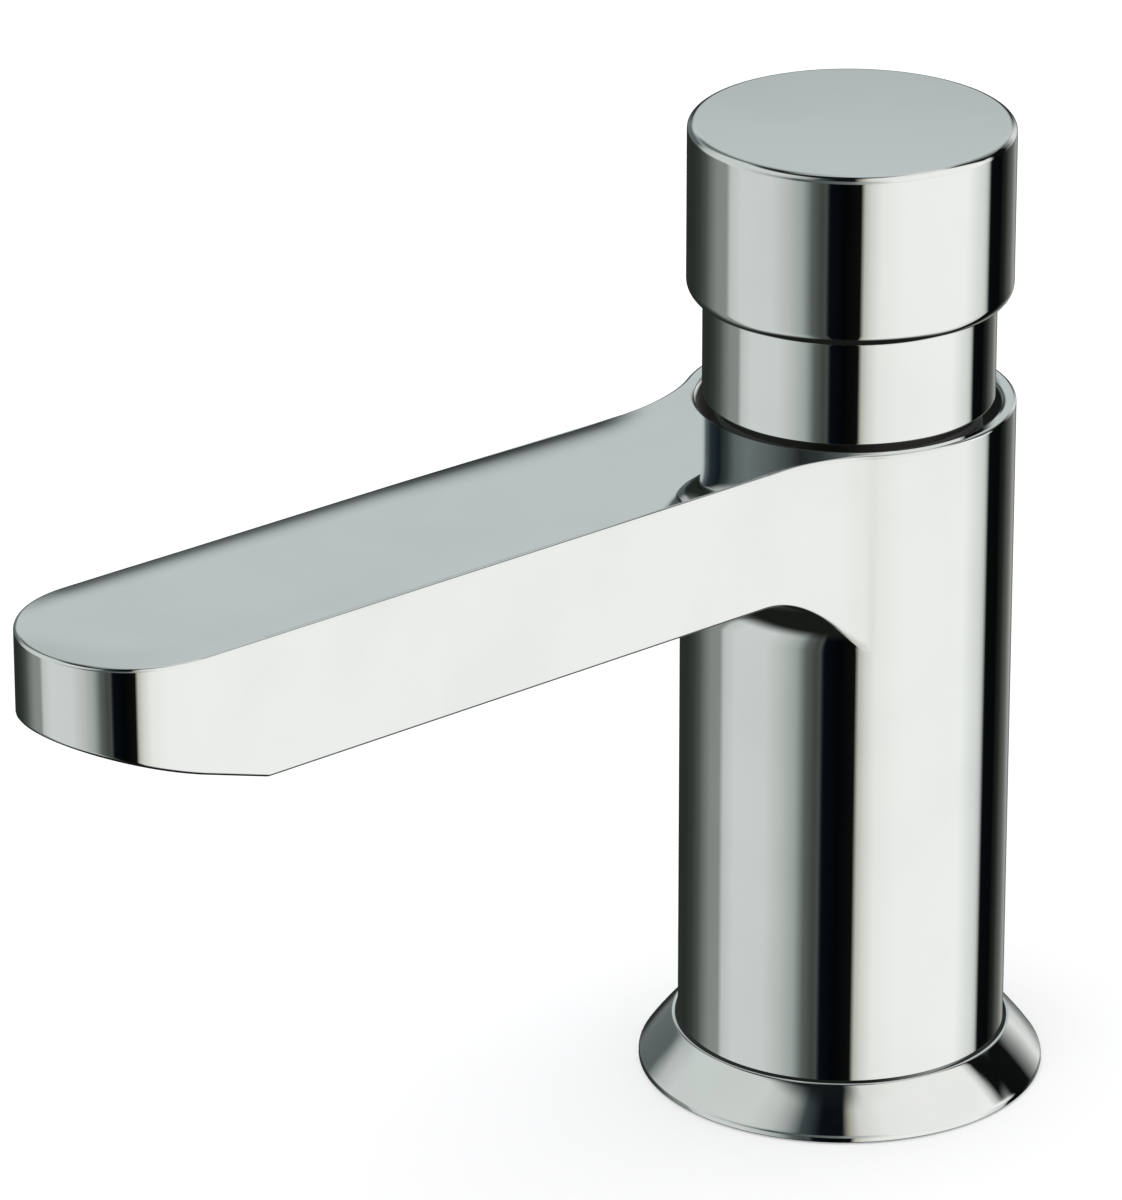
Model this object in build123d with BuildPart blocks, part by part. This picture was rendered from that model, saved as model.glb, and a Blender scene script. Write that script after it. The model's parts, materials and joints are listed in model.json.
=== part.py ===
from build123d import *

import os
from math import cos, pi, radians, sin, sqrt, tan

os.makedirs("parts", exist_ok=True)

# Push timed basin tap, in millimetres.
# +Z is up, the origin is on the tap's axis at the deck surface, and the spout points along -Y.

# Body and spout
body_radius = 22.5
rim_height = 98.2
body_seat_height = 5.6
body_foot_bevel = 1.2
spout_reach = 135.5
spout_half_width = 14.6
spout_depth = 18.6
flare_radius = 24.0
arch_radius = 9.0
outlet_face_start = 110.8
outlet_face_angle = 17.6
top_edge_round = 0.8
rim_wall = 2.05
rim_edge_bevel = 0.35
overrun = 2.0

# Push button
button_gap = 0.75
button_travel = 8.0
button_floor_clearance = 0.8
skirt_lift = 1.0
skirt_shown = 13.7
skirt_wall = 1.4
skirt_edge_bevel = 0.35
skirt_hidden = 11.3
cap_overhang = 2.2
cap_height = 24.1
cap_top_round = 1.1
cap_bottom_round = 2.0
cap_top_wall = 2.6
cap_ledge = 1.6
hub_plate = 4.0
hub_boss_radius = 5.0
hub_boss_depth = 12.0
hub_rib_thickness = 1.6
hub_rib_depth = 6.0
hub_rim_clearance = 0.1
hub_web = 2.6
hub_rib_count = 6
hub_screw_radius = 1.2
hub_screw_head_radius = 2.8
hub_screw_head_height = 2.0
hub_screw_length = 11.0
hub_screw_socket_radius = 1.3
hub_screw_socket_depth = 1.2

# Fits
thread_clearance = 0.05
running_clearance = 0.05
ring_clearance = 0.02
seat_clearance = 0.1
moving_clearance = 0.3

# Hole patterns of the strainer and the aerator, and the sides of nuts and sockets
hole_rings = 2
holes_in_first_ring = 6
hexagon_sides = 6
ring_section_sides = 8
wire_section_sides = 6

# Base flange and its seal
flange_overhang = 5.4
flange_height = 6.6
flange_rim = 0.9
flange_lip = 0.4
flange_bulge = 0.45
flange_body_gap = 0.4
flange_bore_radius = 16.0
spigot_gap = 0.2
spigot_lift = 0.8
base_seal_inset = 3.7
base_seal_inner_wall = 2.0
base_seal_depth = 1.6

# Inlet shank and deck clamp
shank_radius = 10.4775
shank_bore_radius = 6.8
shank_below_deck = 52.0
shank_socket_height = 15.0
shank_chamfer = 0.8
free_thread_length = 12.0
relief_length = 2.0
relief_depth = 1.1
deck_allowance = 20.0
gasket_radius = 22.0
gasket_thickness = 3.0
washer_radius = 21.0
washer_thickness = 1.5
backnut_across_flats = 27.0
backnut_height = 7.0
backnut_chamfer = 1.0
backnut_chamfer_angle = 30.0
washer_bore_gap = 0.5

# Inlet strainer
strainer_thickness = 2.2
strainer_gap = 0.2
strainer_mesh_thickness = 0.8
strainer_rim = 2.2
strainer_hole_radius = 0.95
strainer_hole_pitch = 2.7

# Waterways
chamber_radius = 8.5
nose_bore_radius = 11.0
nose_bore_height = 26.0
cavity_height = 38.0
waterway_gap = 2.2
boss_gap = 0.3
boss_wall = 2.5
boss_step = 1.0
boss_drop = 2.2
spout_wall = 3.0
spout_floor = 2.9
waterway_start = 24.0
waterway_end = 105.0
waterway_corner = 3.0
passage_width = 16.0
passage_height = 4.0
outlet_link_width = 14.0
outlet_link_height = 5.7

# Aerator
aerator_radius = 10.75
aerator_socket_depth = 8.0
outlet_chamber_radius = 8.6
outlet_chamber_depth = 9.5
aerator_recess = 0.5
aerator_wall = 1.7
aerator_lip = 0.7
aerator_lip_depth = 1.1
aerator_housing_depth = 7.0
aerator_key_width = 2.4
aerator_key_depth = 0.7
aerator_key_count = 4
insert_length = 4.8
jet_radius = 1.0
jet_pitch = 3.0
regulator_radius = 7.8
regulator_thickness = 1.9
regulator_hole_radius = 1.1
regulator_hole_circle = 4.6
regulator_hole_count = 4
aerator_seal_width = 2.0

# Timing cartridge
cage_nose_gap = 0.1
cage_nose_lift = 1.0
cage_inlet_radius = 8.2
cage_wall = 3.3
cage_height = 18.0
seat_height = 36.0
seat_web = 4.0
seat_lip = 0.6
seat_lip_wall = 1.0
seat_bore_radius = 4.6
window_width = 8.0
window_low = 5.0
window_height = 7.0
window_pairs = 2
half_turn = 180.0
quarter_handle_share = 0.5523
seal_groove_depth = 1.3
seal_groove_width = 2.2
seal_groove_lift = 4.0
plug_length = 5.0
gland_groove_depth = 1.65
gland_groove_lift = 1.4
cylinder_wall = 2.7
cylinder_floor_thickness = 2.0
cylinder_top_drop = 0.2
head_bore_radius = 12.0
head_height = 4.0
head_flange_thickness = 1.5
head_gasket_thickness = 1.0
head_corner_clearance = 0.1
bush_drop = 1.6
bush_groove_depth = 1.45
bush_groove_lift = 4.4
spindle_groove_depth = 1.55
spindle_groove_lift = 1.4
ring_thickness = 1.0
ring_groove_depth = 0.8
ring_groove_play = 0.2
ring_width = 2.2
ring_opening_angle = 50.0
needle_radius = 1.45
needle_offset = 6.4
needle_head_radius = 2.2
needle_head_height = 1.4
needle_slot_width = 0.7
needle_slot_depth = 0.7
needle_tip_lift = 0.6

# Moving valve parts
spindle_radius = 2.5
spindle_neck_radius = 2.1
piston_height = 6.0
piston_top_clearance = 6.6
piston_seal_depth = 1.9
piston_seal_height = 2.2
piston_seal_lift = 1.8
lip_share = 0.35
small_nut_across_flats = 7.0
piston_nut_height = 2.4
disc_nut_height = 2.2
disc_radius = 6.7
disc_thickness = 2.0
disc_rim_wall = 0.5
disc_rim_height = 1.2
spindle_end = 0.4
spring_wire_radius = 0.55
spring_mean_radius = 7.0
spring_turns = 5
spring_end_clearance = 0.05
steps_per_turn = 4
gap_samples_per_turn = 48

# Heights and radii that follow from the sizes above
spout_underside = rim_height - spout_depth
bore_radius = body_radius - rim_wall
skirt_radius = bore_radius - button_gap
skirt_bore_radius = skirt_radius - skirt_wall
skirt_bottom = rim_height + skirt_lift
cap_bottom = skirt_bottom + skirt_shown
skirt_top = cap_bottom + skirt_hidden
cap_top = cap_bottom + cap_height
cap_radius = skirt_radius + cap_overhang
hub_top = skirt_top + hub_plate
bore_floor = skirt_bottom - button_travel - button_floor_clearance
boss_radius = skirt_bore_radius - boss_gap
boss_top = rim_height - boss_drop
boss_thread_radius = boss_radius - boss_wall
cavity_radius = boss_thread_radius - boss_step
cage_radius = cavity_radius - waterway_gap
cage_bore_radius = cage_radius - cage_wall
cage_top = cavity_height + cage_height
cylinder_bore_radius = cage_radius - cylinder_wall
cylinder_floor = cage_top + cylinder_floor_thickness
flange_radius = body_radius + flange_overhang
base_seal_outer_radius = flange_radius - base_seal_inset
base_seal_inner_radius = flange_bore_radius + base_seal_inner_wall
spigot_bottom = spigot_lift
spigot_radius = flange_bore_radius - spigot_gap
socket_radius = shank_radius + thread_clearance
strainer_top = shank_socket_height + strainer_thickness
chamber_floor = strainer_top + strainer_gap
waterway_floor = spout_underside + spout_floor
waterway_top = rim_height - spout_wall
passage_top = waterway_floor + passage_height
boss_thread_bottom = passage_top + moving_clearance
cylinder_top = boss_thread_bottom - cylinder_top_drop
head_seat = boss_top + head_gasket_thickness
head_top = head_seat + head_height
bush_bottom = cylinder_top
bush_top = head_top - bush_drop - ring_thickness
bush_radius = head_bore_radius - thread_clearance
piston_top = bush_bottom - piston_top_clearance
piston_bottom = piston_top - piston_height
piston_radius = cylinder_bore_radius - moving_clearance
spindle_top = hub_top - hub_web
seat_face = seat_height - seat_lip
washer_top = seat_face - running_clearance
disc_top = seat_height - seat_lip - disc_rim_height - disc_thickness + seat_clearance
disc_bottom = disc_top - disc_thickness
disc_nut_bottom = disc_bottom - disc_nut_height
spindle_bottom = disc_nut_bottom - spindle_end


def turned(points, mode=Mode.ADD):
    """Turns a closed outline of (radius, height) points about the tap's axis."""
    with BuildSketch(Plane.XZ) as section:
        with BuildLine():
            Polyline(*points, close=True)
        make_face()
    revolve(section.sketch, axis=Axis.Z, mode=mode)


def tube(inner_radius, outer_radius, low, high):
    """Turns a plain ring between two radii and two heights."""
    turned([(inner_radius, low), (outer_radius, low), (outer_radius, high), (inner_radius, high)])


def o_ring(inner_radius, outer_radius, middle):
    """Turns a ring of nearly round section that just fills the space between two radii."""
    section_radius = (outer_radius - inner_radius) / 2 - ring_clearance
    with BuildSketch(Plane.XZ) as section:
        with Locations(((inner_radius + outer_radius) / 2, middle)):
            RegularPolygon(section_radius, ring_section_sides)
    revolve(section.sketch, axis=Axis.Z)


def hexagon(across_flats, low, high, bore_radius_in_nut):
    """Makes a hexagon nut blank with its bore."""
    with BuildSketch(Plane.XY.offset(low)) as section:
        RegularPolygon(across_flats / 2, hexagon_sides, major_radius=False)
        Circle(bore_radius_in_nut, mode=Mode.SUBTRACT)
    extrude(section.sketch, amount=high - low)


def honeycomb(pitch, radius, mode):
    """Draws a hexagon and rings of hexagons round it, each ring with one more hexagon per side."""
    RegularPolygon(radius, hexagon_sides, mode=mode)
    for ring in range(1, hole_rings + 1):
        with PolarLocations(ring * pitch, ring * holes_in_first_ring):
            RegularPolygon(radius, hexagon_sides, mode=mode)


def rounded_corner(start, corner, end):
    """Draws a smooth quarter round as one cubic between two points, pulled towards their corner."""
    start, corner, end = Vector(*start), Vector(*corner), Vector(*end)
    leaving = start + (corner - start) * quarter_handle_share
    arriving = end + (corner - end) * quarter_handle_share
    Bezier(start, leaving, arriving, end)


def save(piece, label):
    """Labels a finished piece and writes its STEP file."""
    piece.part.label = label
    export_step(piece.part, f"parts/{label}.step")


# Plan of the body and spout: a round body that flares into a straight spout with a round nose
flare_centre_x = spout_half_width + flare_radius
flare_centre_y = -sqrt((body_radius + flare_radius) ** 2 - flare_centre_x**2)
flare_share = body_radius / (body_radius + flare_radius)
flare_foot_x = flare_share * flare_centre_x
flare_foot_y = flare_share * flare_centre_y
nose_centre_y = spout_half_width - spout_reach

with BuildSketch(Plane.XY.offset(body_seat_height)) as plan:
    with BuildLine():
        Line((spout_half_width, flare_centre_y), (spout_half_width, nose_centre_y))
        ThreePointArc(
            (spout_half_width, nose_centre_y), (0, -spout_reach), (-spout_half_width, nose_centre_y)
        )
        Line((-spout_half_width, nose_centre_y), (-spout_half_width, flare_centre_y))
        TangentArc(
            (-spout_half_width, flare_centre_y), (-flare_foot_x, flare_foot_y), tangent=(0, 1)
        )
        ThreePointArc((-flare_foot_x, flare_foot_y), (0, body_radius), (flare_foot_x, flare_foot_y))
        TangentArc((spout_half_width, flare_centre_y), (flare_foot_x, flare_foot_y), tangent=(0, 1))
    make_face()

# Outlet face: the oblique flat under the nose that the aerator screws into
outlet_slope = tan(radians(outlet_face_angle))
outlet_centre_y = -(outlet_face_start + spout_reach) / 2
outlet_centre_z = spout_underside + (spout_reach - outlet_face_start) / 2 * outlet_slope
inward = (0, sin(radians(outlet_face_angle)), cos(radians(outlet_face_angle)))
outlet_plane = Plane(origin=(0, outlet_centre_y, outlet_centre_z), x_dir=(1, 0, 0), z_dir=inward)

# Outside of the casting: the plan raised to the rim, then cut away below the spout and at its nose
with BuildPart() as casting:
    extrude(plan.sketch, amount=rim_height - body_seat_height)
    fillet(casting.edges().group_by(Axis.Z)[-1], top_edge_round)
    # Space under the spout and round the body: the arch above, the body's bevelled foot below
    with BuildSketch(Plane.YZ):
        with BuildLine():
            far_radius = spout_reach + overrun
            below = body_seat_height - overrun
            arch_foot = spout_underside - arch_radius
            foot_radius = body_radius - body_foot_bevel
            foot_top = body_seat_height + body_foot_bevel
            Line((foot_radius, below), (foot_radius, body_seat_height))
            Line((foot_radius, body_seat_height), (body_radius, foot_top))
            Line((body_radius, foot_top), (body_radius, arch_foot))
            RadiusArc(
                (body_radius, arch_foot),
                (body_radius + arch_radius, spout_underside),
                arch_radius,
            )
            Line((body_radius + arch_radius, spout_underside), (far_radius, spout_underside))
            Line((far_radius, spout_underside), (far_radius, below))
            Line((far_radius, below), (foot_radius, below))
        make_face()
    revolve(axis=Axis.Z, mode=Mode.SUBTRACT)
    # Oblique outlet face
    with BuildSketch(Plane.YZ):
        with BuildLine():
            nose_run = far_radius - outlet_face_start
            Polyline(
                (-outlet_face_start, spout_underside),
                (-far_radius, spout_underside + nose_run * outlet_slope),
                (-far_radius, spout_underside - overrun),
                (-outlet_face_start, spout_underside - overrun),
                close=True,
            )
        make_face()
    extrude(amount=body_radius, both=True, mode=Mode.SUBTRACT)

# Tap body: the casting with its waterways and the bore that the button enters
with BuildPart() as tap_body:
    add(casting.part)
    # Spigot that centres the body in its base flange
    with BuildSketch(Plane.XY.offset(spigot_bottom)):
        Circle(spigot_radius)
    extrude(amount=body_seat_height - spigot_bottom)
    # Bores from the inlet socket up to the button bore, all turned from above and below
    turned(
        [
            (0, spigot_bottom - overrun),
            (socket_radius, spigot_bottom - overrun),
            (socket_radius, chamber_floor),
            (chamber_radius, chamber_floor),
            (chamber_radius, nose_bore_height),
            (nose_bore_radius, nose_bore_height),
            (nose_bore_radius, cavity_height),
            (cavity_radius, cavity_height),
            (cavity_radius, boss_thread_bottom),
            (boss_thread_radius, boss_thread_bottom),
            (boss_thread_radius, boss_top),
            (boss_radius, boss_top),
            (boss_radius, bore_floor),
            (bore_radius, bore_floor),
            (bore_radius, rim_height - rim_edge_bevel),
            (bore_radius + rim_edge_bevel, rim_height),
            (bore_radius + rim_edge_bevel, rim_height + overrun),
            (0, rim_height + overrun),
        ],
        mode=Mode.SUBTRACT,
    )
    # Waterway along the spout
    with BuildSketch(Plane.XY.offset(waterway_floor)):
        with Locations((0, -(waterway_start + waterway_end) / 2)):
            RectangleRounded(
                2 * (spout_half_width - spout_wall), waterway_end - waterway_start, waterway_corner
            )
    extrude(amount=waterway_top - waterway_floor, mode=Mode.SUBTRACT)
    # Passage from the cartridge cavity into the spout
    with BuildSketch(Plane.XY.offset(waterway_floor)):
        passage_inner = sqrt(cavity_radius**2 - (passage_width / 2) ** 2) - waterway_gap
        passage_outer = waterway_start + waterway_corner
        with Locations((0, -(passage_inner + passage_outer) / 2)):
            Rectangle(passage_width, passage_outer - passage_inner)
    extrude(amount=passage_height, mode=Mode.SUBTRACT)
    # Link over the aerator
    with BuildSketch(Plane.XY.offset(waterway_top - outlet_link_height)):
        link_inner = waterway_end - waterway_corner
        with Locations((0, (outlet_centre_y - link_inner) / 2)):
            Rectangle(outlet_link_width, -outlet_centre_y - link_inner)
    extrude(amount=outlet_link_height, mode=Mode.SUBTRACT)
    # Aerator socket and the chamber behind it
    with BuildSketch(outlet_plane.offset(-overrun)):
        Circle(aerator_radius)
    extrude(amount=aerator_socket_depth + overrun, mode=Mode.SUBTRACT)
    with BuildSketch(outlet_plane):
        Circle(outlet_chamber_radius)
    extrude(amount=outlet_chamber_depth, mode=Mode.SUBTRACT)
save(tap_body, "tap_body")

# Base flange: the domed ring under the body, recessed for the body's foot and for its seal
with BuildPart() as base_flange:
    lip_inner_radius = body_radius + flange_body_gap
    lip_outer_radius = lip_inner_radius + flange_lip
    with BuildSketch(Plane.XZ):
        with BuildLine():
            Polyline(
                (flange_radius, flange_rim),
                (flange_radius, 0),
                (base_seal_outer_radius, 0),
                (base_seal_outer_radius, base_seal_depth),
                (base_seal_inner_radius, base_seal_depth),
                (base_seal_inner_radius, 0),
                (flange_bore_radius, 0),
                (flange_bore_radius, body_seat_height),
                (lip_inner_radius, body_seat_height),
                (lip_inner_radius, flange_height),
                (lip_outer_radius, flange_height),
            )
            SagittaArc(
                (lip_outer_radius, flange_height), (flange_radius, flange_rim), flange_bulge
            )
        make_face()
    revolve(axis=Axis.Z)
save(base_flange, "base_flange")

# Base seal: the rubber ring set into the underside of the flange
with BuildPart() as base_seal:
    tube(
        base_seal_inner_radius + seat_clearance,
        base_seal_outer_radius - seat_clearance,
        0,
        base_seal_depth,
    )
save(base_seal, "base_seal")

# Inlet shank: threaded tube that fixes the tap and feeds it, with a relief behind its free end
shank_bottom = -shank_below_deck
relief_bottom = shank_bottom + free_thread_length
relief_top = relief_bottom + relief_length
relief_radius = shank_radius - relief_depth
with BuildPart() as inlet_shank:
    turned(
        [
            (shank_bore_radius, shank_bottom),
            (shank_radius - shank_chamfer, shank_bottom),
            (shank_radius, shank_bottom + shank_chamfer),
            (shank_radius, relief_bottom),
            (relief_radius, relief_bottom),
            (relief_radius, relief_top),
            (shank_radius, relief_top),
            (shank_radius, shank_socket_height - shank_chamfer),
            (shank_radius - shank_chamfer, shank_socket_height),
            (shank_bore_radius, shank_socket_height),
        ]
    )
save(inlet_shank, "inlet_shank")

# Deck clamp: rubber gasket, steel washer and backnut, drawn up under the deck
gasket_top = -deck_allowance
gasket_bottom = gasket_top - gasket_thickness
washer_bottom = gasket_bottom - washer_thickness
backnut_bottom = washer_bottom - backnut_height
clamp_bore_radius = shank_radius + washer_bore_gap

with BuildPart() as deck_gasket:
    tube(clamp_bore_radius, gasket_radius, gasket_bottom, gasket_top)
save(deck_gasket, "deck_gasket")

with BuildPart() as clamp_washer:
    tube(clamp_bore_radius, washer_radius, washer_bottom, gasket_bottom)
save(clamp_washer, "clamp_washer")

with BuildPart() as backnut:
    hexagon(backnut_across_flats, backnut_bottom, washer_bottom, socket_radius)
    # Chamfered corners, turned as on a nut cut from bar
    nut_corner_radius = backnut_across_flats / sqrt(3)
    nut_face_radius = nut_corner_radius - backnut_chamfer
    chamfer_height = backnut_chamfer * tan(radians(backnut_chamfer_angle))
    turned(
        [
            (0, backnut_bottom),
            (nut_face_radius, backnut_bottom),
            (nut_corner_radius, backnut_bottom + chamfer_height),
            (nut_corner_radius, washer_bottom - chamfer_height),
            (nut_face_radius, washer_bottom),
            (0, washer_bottom),
        ],
        mode=Mode.INTERSECT,
    )
save(backnut, "backnut")

# Inlet strainer: a perforated disc with a thick rim, held between the shank and the body
with BuildPart() as inlet_strainer:
    strainer_radius = socket_radius - seat_clearance
    turned(
        [
            (0, shank_socket_height),
            (strainer_radius, shank_socket_height),
            (strainer_radius, strainer_top),
            (strainer_radius - strainer_rim, strainer_top),
            (strainer_radius - strainer_rim, shank_socket_height + strainer_mesh_thickness),
            (0, shank_socket_height + strainer_mesh_thickness),
        ]
    )
    with BuildSketch(Plane.XY.offset(shank_socket_height)):
        honeycomb(strainer_hole_pitch, strainer_hole_radius, Mode.ADD)
    extrude(amount=strainer_mesh_thickness, mode=Mode.SUBTRACT)
save(inlet_strainer, "inlet_strainer")

# Valve cage: lower half of the cartridge, with the inlet nose, the downward-facing seat and windows
cage_nose_radius = nose_bore_radius - cage_nose_gap
cage_bottom = nose_bore_height + cage_nose_lift
groove_low = cage_bottom + seal_groove_lift
groove_high = groove_low + seal_groove_width
cage_groove_radius = cage_nose_radius - seal_groove_depth
seat_top = seat_height + seat_web
with BuildPart() as valve_cage:
    turned(
        [
            (cage_inlet_radius, cage_bottom),
            (cage_nose_radius, cage_bottom),
            (cage_nose_radius, groove_low),
            (cage_groove_radius, groove_low),
            (cage_groove_radius, groove_high),
            (cage_nose_radius, groove_high),
            (cage_nose_radius, cavity_height),
            (cage_radius, cavity_height),
            (cage_radius, cage_top),
            (cage_bore_radius, cage_top),
            (cage_bore_radius, seat_top),
            (seat_bore_radius, seat_top),
            (seat_bore_radius, seat_face),
            (seat_bore_radius + seat_lip_wall, seat_face),
            (seat_bore_radius + seat_lip_wall, seat_height),
            (cage_inlet_radius, seat_height),
        ]
    )
    with BuildSketch(Plane.XY.offset(cavity_height + window_low)):
        with PolarLocations(0, window_pairs, angular_range=half_turn):
            Rectangle(2 * cage_radius + overrun, window_width)
    extrude(amount=window_height, mode=Mode.SUBTRACT)
save(valve_cage, "valve_cage")

with BuildPart() as cage_seal:
    o_ring(cage_groove_radius, nose_bore_radius, (groove_low + groove_high) / 2)
save(cage_seal, "cage_seal")

# Dashpot cylinder: upper half of the cartridge, screwed into the cage and into the body's boss
plug_bottom = cage_top - plug_length
gland_bore_radius = spindle_radius + running_clearance
gland_groove_radius = gland_bore_radius + gland_groove_depth
gland_low = plug_bottom + gland_groove_lift
gland_high = gland_low + seal_groove_width
cylinder_thread_radius = boss_thread_radius - thread_clearance
head_radius = boss_radius - head_corner_clearance
ring_seat = bush_top
ring_groove_top = bush_top + ring_thickness + ring_groove_play
ring_groove_radius = head_bore_radius + ring_groove_depth
head_wall_radius = ring_groove_radius + ring_groove_depth
head_flange_top = head_seat + head_flange_thickness
with BuildPart() as dashpot_cylinder:
    turned(
        [
            (gland_bore_radius, plug_bottom),
            (cage_bore_radius - thread_clearance, plug_bottom),
            (cage_bore_radius - thread_clearance, cage_top),
            (cage_radius, cage_top),
            (cage_radius, boss_thread_bottom + running_clearance),
            (cylinder_thread_radius, boss_thread_bottom + running_clearance),
            (cylinder_thread_radius, head_seat),
            (head_radius, head_seat),
            (head_radius, head_flange_top),
            (head_wall_radius, head_flange_top),
            (head_wall_radius, head_top),
            (head_bore_radius, head_top),
            (head_bore_radius, ring_groove_top),
            (ring_groove_radius, ring_groove_top),
            (ring_groove_radius, ring_seat),
            (head_bore_radius, ring_seat),
            (head_bore_radius, cylinder_top),
            (cylinder_bore_radius, cylinder_top),
            (cylinder_bore_radius, cylinder_floor),
            (gland_bore_radius, cylinder_floor),
            (gland_bore_radius, gland_high),
            (gland_groove_radius, gland_high),
            (gland_groove_radius, gland_low),
            (gland_bore_radius, gland_low),
        ]
    )
    # Hexagon that a spanner turns to screw the cartridge in
    with BuildSketch(Plane.XY.offset(head_flange_top)):
        RegularPolygon(head_radius, hexagon_sides)
        Circle(head_wall_radius, mode=Mode.SUBTRACT)
    extrude(amount=head_top - head_flange_top)
save(dashpot_cylinder, "dashpot_cylinder")

with BuildPart() as head_gasket:
    tube(boss_thread_radius, boss_radius, boss_top, head_seat)
save(head_gasket, "head_gasket")

with BuildPart() as gland_seal:
    o_ring(spindle_radius, gland_groove_radius, (gland_low + gland_high) / 2)
save(gland_seal, "gland_seal")

# Guide bush: plastic plug that closes the dashpot and guides the spindle
neck_bore_radius = spindle_neck_radius + running_clearance
spindle_groove_radius = neck_bore_radius + spindle_groove_depth
spindle_groove_low = bush_bottom + spindle_groove_lift
spindle_groove_high = spindle_groove_low + seal_groove_width
bush_groove_radius = bush_radius - bush_groove_depth
bush_groove_low = bush_bottom + bush_groove_lift
bush_groove_high = bush_groove_low + seal_groove_width
with BuildPart() as guide_bush:
    turned(
        [
            (neck_bore_radius, bush_bottom),
            (bush_radius, bush_bottom),
            (bush_radius, bush_groove_low),
            (bush_groove_radius, bush_groove_low),
            (bush_groove_radius, bush_groove_high),
            (bush_radius, bush_groove_high),
            (bush_radius, bush_top),
            (neck_bore_radius, bush_top),
            (neck_bore_radius, spindle_groove_high),
            (spindle_groove_radius, spindle_groove_high),
            (spindle_groove_radius, spindle_groove_low),
            (neck_bore_radius, spindle_groove_low),
        ]
    )
    with BuildSketch(Plane.XY.offset(bush_bottom)):
        with Locations((needle_offset, 0)):
            Circle(needle_radius + thread_clearance)
    extrude(amount=bush_top - bush_bottom, mode=Mode.SUBTRACT)
save(guide_bush, "guide_bush")

with BuildPart() as bush_seal:
    o_ring(bush_groove_radius, head_bore_radius, (bush_groove_low + bush_groove_high) / 2)
save(bush_seal, "bush_seal")

with BuildPart() as spindle_seal:
    o_ring(
        spindle_neck_radius, spindle_groove_radius, (spindle_groove_low + spindle_groove_high) / 2
    )
save(spindle_seal, "spindle_seal")

# Metering needle: the slotted screw that sets how slowly the dashpot refills
with BuildPart() as metering_needle:
    with BuildSketch(Plane.XY.offset(bush_bottom + needle_tip_lift)):
        with Locations((needle_offset, 0)):
            Circle(needle_radius)
    extrude(amount=bush_top - bush_bottom - needle_tip_lift)
    with BuildSketch(Plane.XY.offset(bush_top)):
        with Locations((needle_offset, 0)):
            Circle(needle_head_radius)
    extrude(amount=needle_head_height)
    with BuildSketch(Plane.XY.offset(bush_top + needle_head_height - needle_slot_depth)):
        with Locations((needle_offset, 0)):
            Rectangle(2 * needle_head_radius + overrun, needle_slot_width)
    extrude(amount=needle_slot_depth, mode=Mode.SUBTRACT)
save(metering_needle, "metering_needle")

# Retaining ring: the open spring ring that holds the bush down
with BuildPart() as retaining_ring:
    ring_radius = ring_groove_radius - running_clearance
    with BuildSketch(Plane.XY.offset(ring_seat)):
        Circle(ring_radius)
        Circle(ring_radius - ring_width, mode=Mode.SUBTRACT)
        with BuildLine():
            half_opening = radians(ring_opening_angle / 2)
            opening_reach = ring_radius + overrun
            Polyline(
                (0, 0),
                (-opening_reach * cos(half_opening), opening_reach * sin(half_opening)),
                (-opening_reach * cos(half_opening), -opening_reach * sin(half_opening)),
                close=True,
            )
        make_face(mode=Mode.SUBTRACT)
    extrude(amount=ring_thickness)
save(retaining_ring, "retaining_ring")

# Spindle: carries the valve disc, the piston and the button on one axis
with BuildPart() as spindle:
    turned(
        [
            (0, spindle_bottom),
            (spindle_neck_radius, spindle_bottom),
            (spindle_neck_radius, disc_top),
            (spindle_radius, disc_top),
            (spindle_radius, piston_bottom),
            (spindle_neck_radius, piston_bottom),
            (spindle_neck_radius, spindle_top),
            (hub_screw_radius + running_clearance, spindle_top),
            (hub_screw_radius + running_clearance, hub_top - hub_screw_length - overrun),
            (0, hub_top - hub_screw_length - overrun),
        ]
    )
save(spindle, "spindle")

# Piston with its lip seal, clamped to the spindle by a small nut
piston_groove_radius = piston_radius - piston_seal_depth
piston_groove_low = piston_bottom + piston_seal_lift
piston_groove_high = piston_groove_low + piston_seal_height
with BuildPart() as piston:
    turned(
        [
            (spindle_neck_radius + ring_clearance, piston_bottom),
            (piston_radius, piston_bottom),
            (piston_radius, piston_groove_low),
            (piston_groove_radius, piston_groove_low),
            (piston_groove_radius, piston_groove_high),
            (piston_radius, piston_groove_high),
            (piston_radius, piston_top),
            (spindle_neck_radius + ring_clearance, piston_top),
        ]
    )
save(piston, "piston")

with BuildPart() as piston_seal:
    seal_inner = piston_groove_radius + ring_clearance
    seal_outer = cylinder_bore_radius - running_clearance
    seal_low = piston_groove_low + ring_clearance
    seal_high = piston_groove_high - ring_clearance
    lip = lip_share * (seal_outer - seal_inner)
    turned(
        [
            (seal_inner, seal_low),
            (seal_outer - lip / 2, seal_low),
            (seal_outer, seal_high),
            (seal_outer - lip, seal_high),
            ((seal_inner + seal_outer) / 2, (seal_low + seal_high) / 2),
            (seal_inner + lip, seal_high),
            (seal_inner, seal_high),
        ]
    )
save(piston_seal, "piston_seal")

with BuildPart() as piston_nut:
    hexagon(
        small_nut_across_flats,
        piston_top,
        piston_top + piston_nut_height,
        spindle_neck_radius + ring_clearance,
    )
save(piston_nut, "piston_nut")

# Valve disc: brass cup that carries the rubber washer up against the seat
with BuildPart() as valve_disc:
    turned(
        [
            (spindle_neck_radius + ring_clearance, disc_bottom),
            (disc_radius, disc_bottom),
            (disc_radius, disc_top + disc_rim_height),
            (disc_radius - disc_rim_wall, disc_top + disc_rim_height),
            (disc_radius - disc_rim_wall, disc_top),
            (spindle_neck_radius + ring_clearance, disc_top),
        ]
    )
save(valve_disc, "valve_disc")

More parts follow.
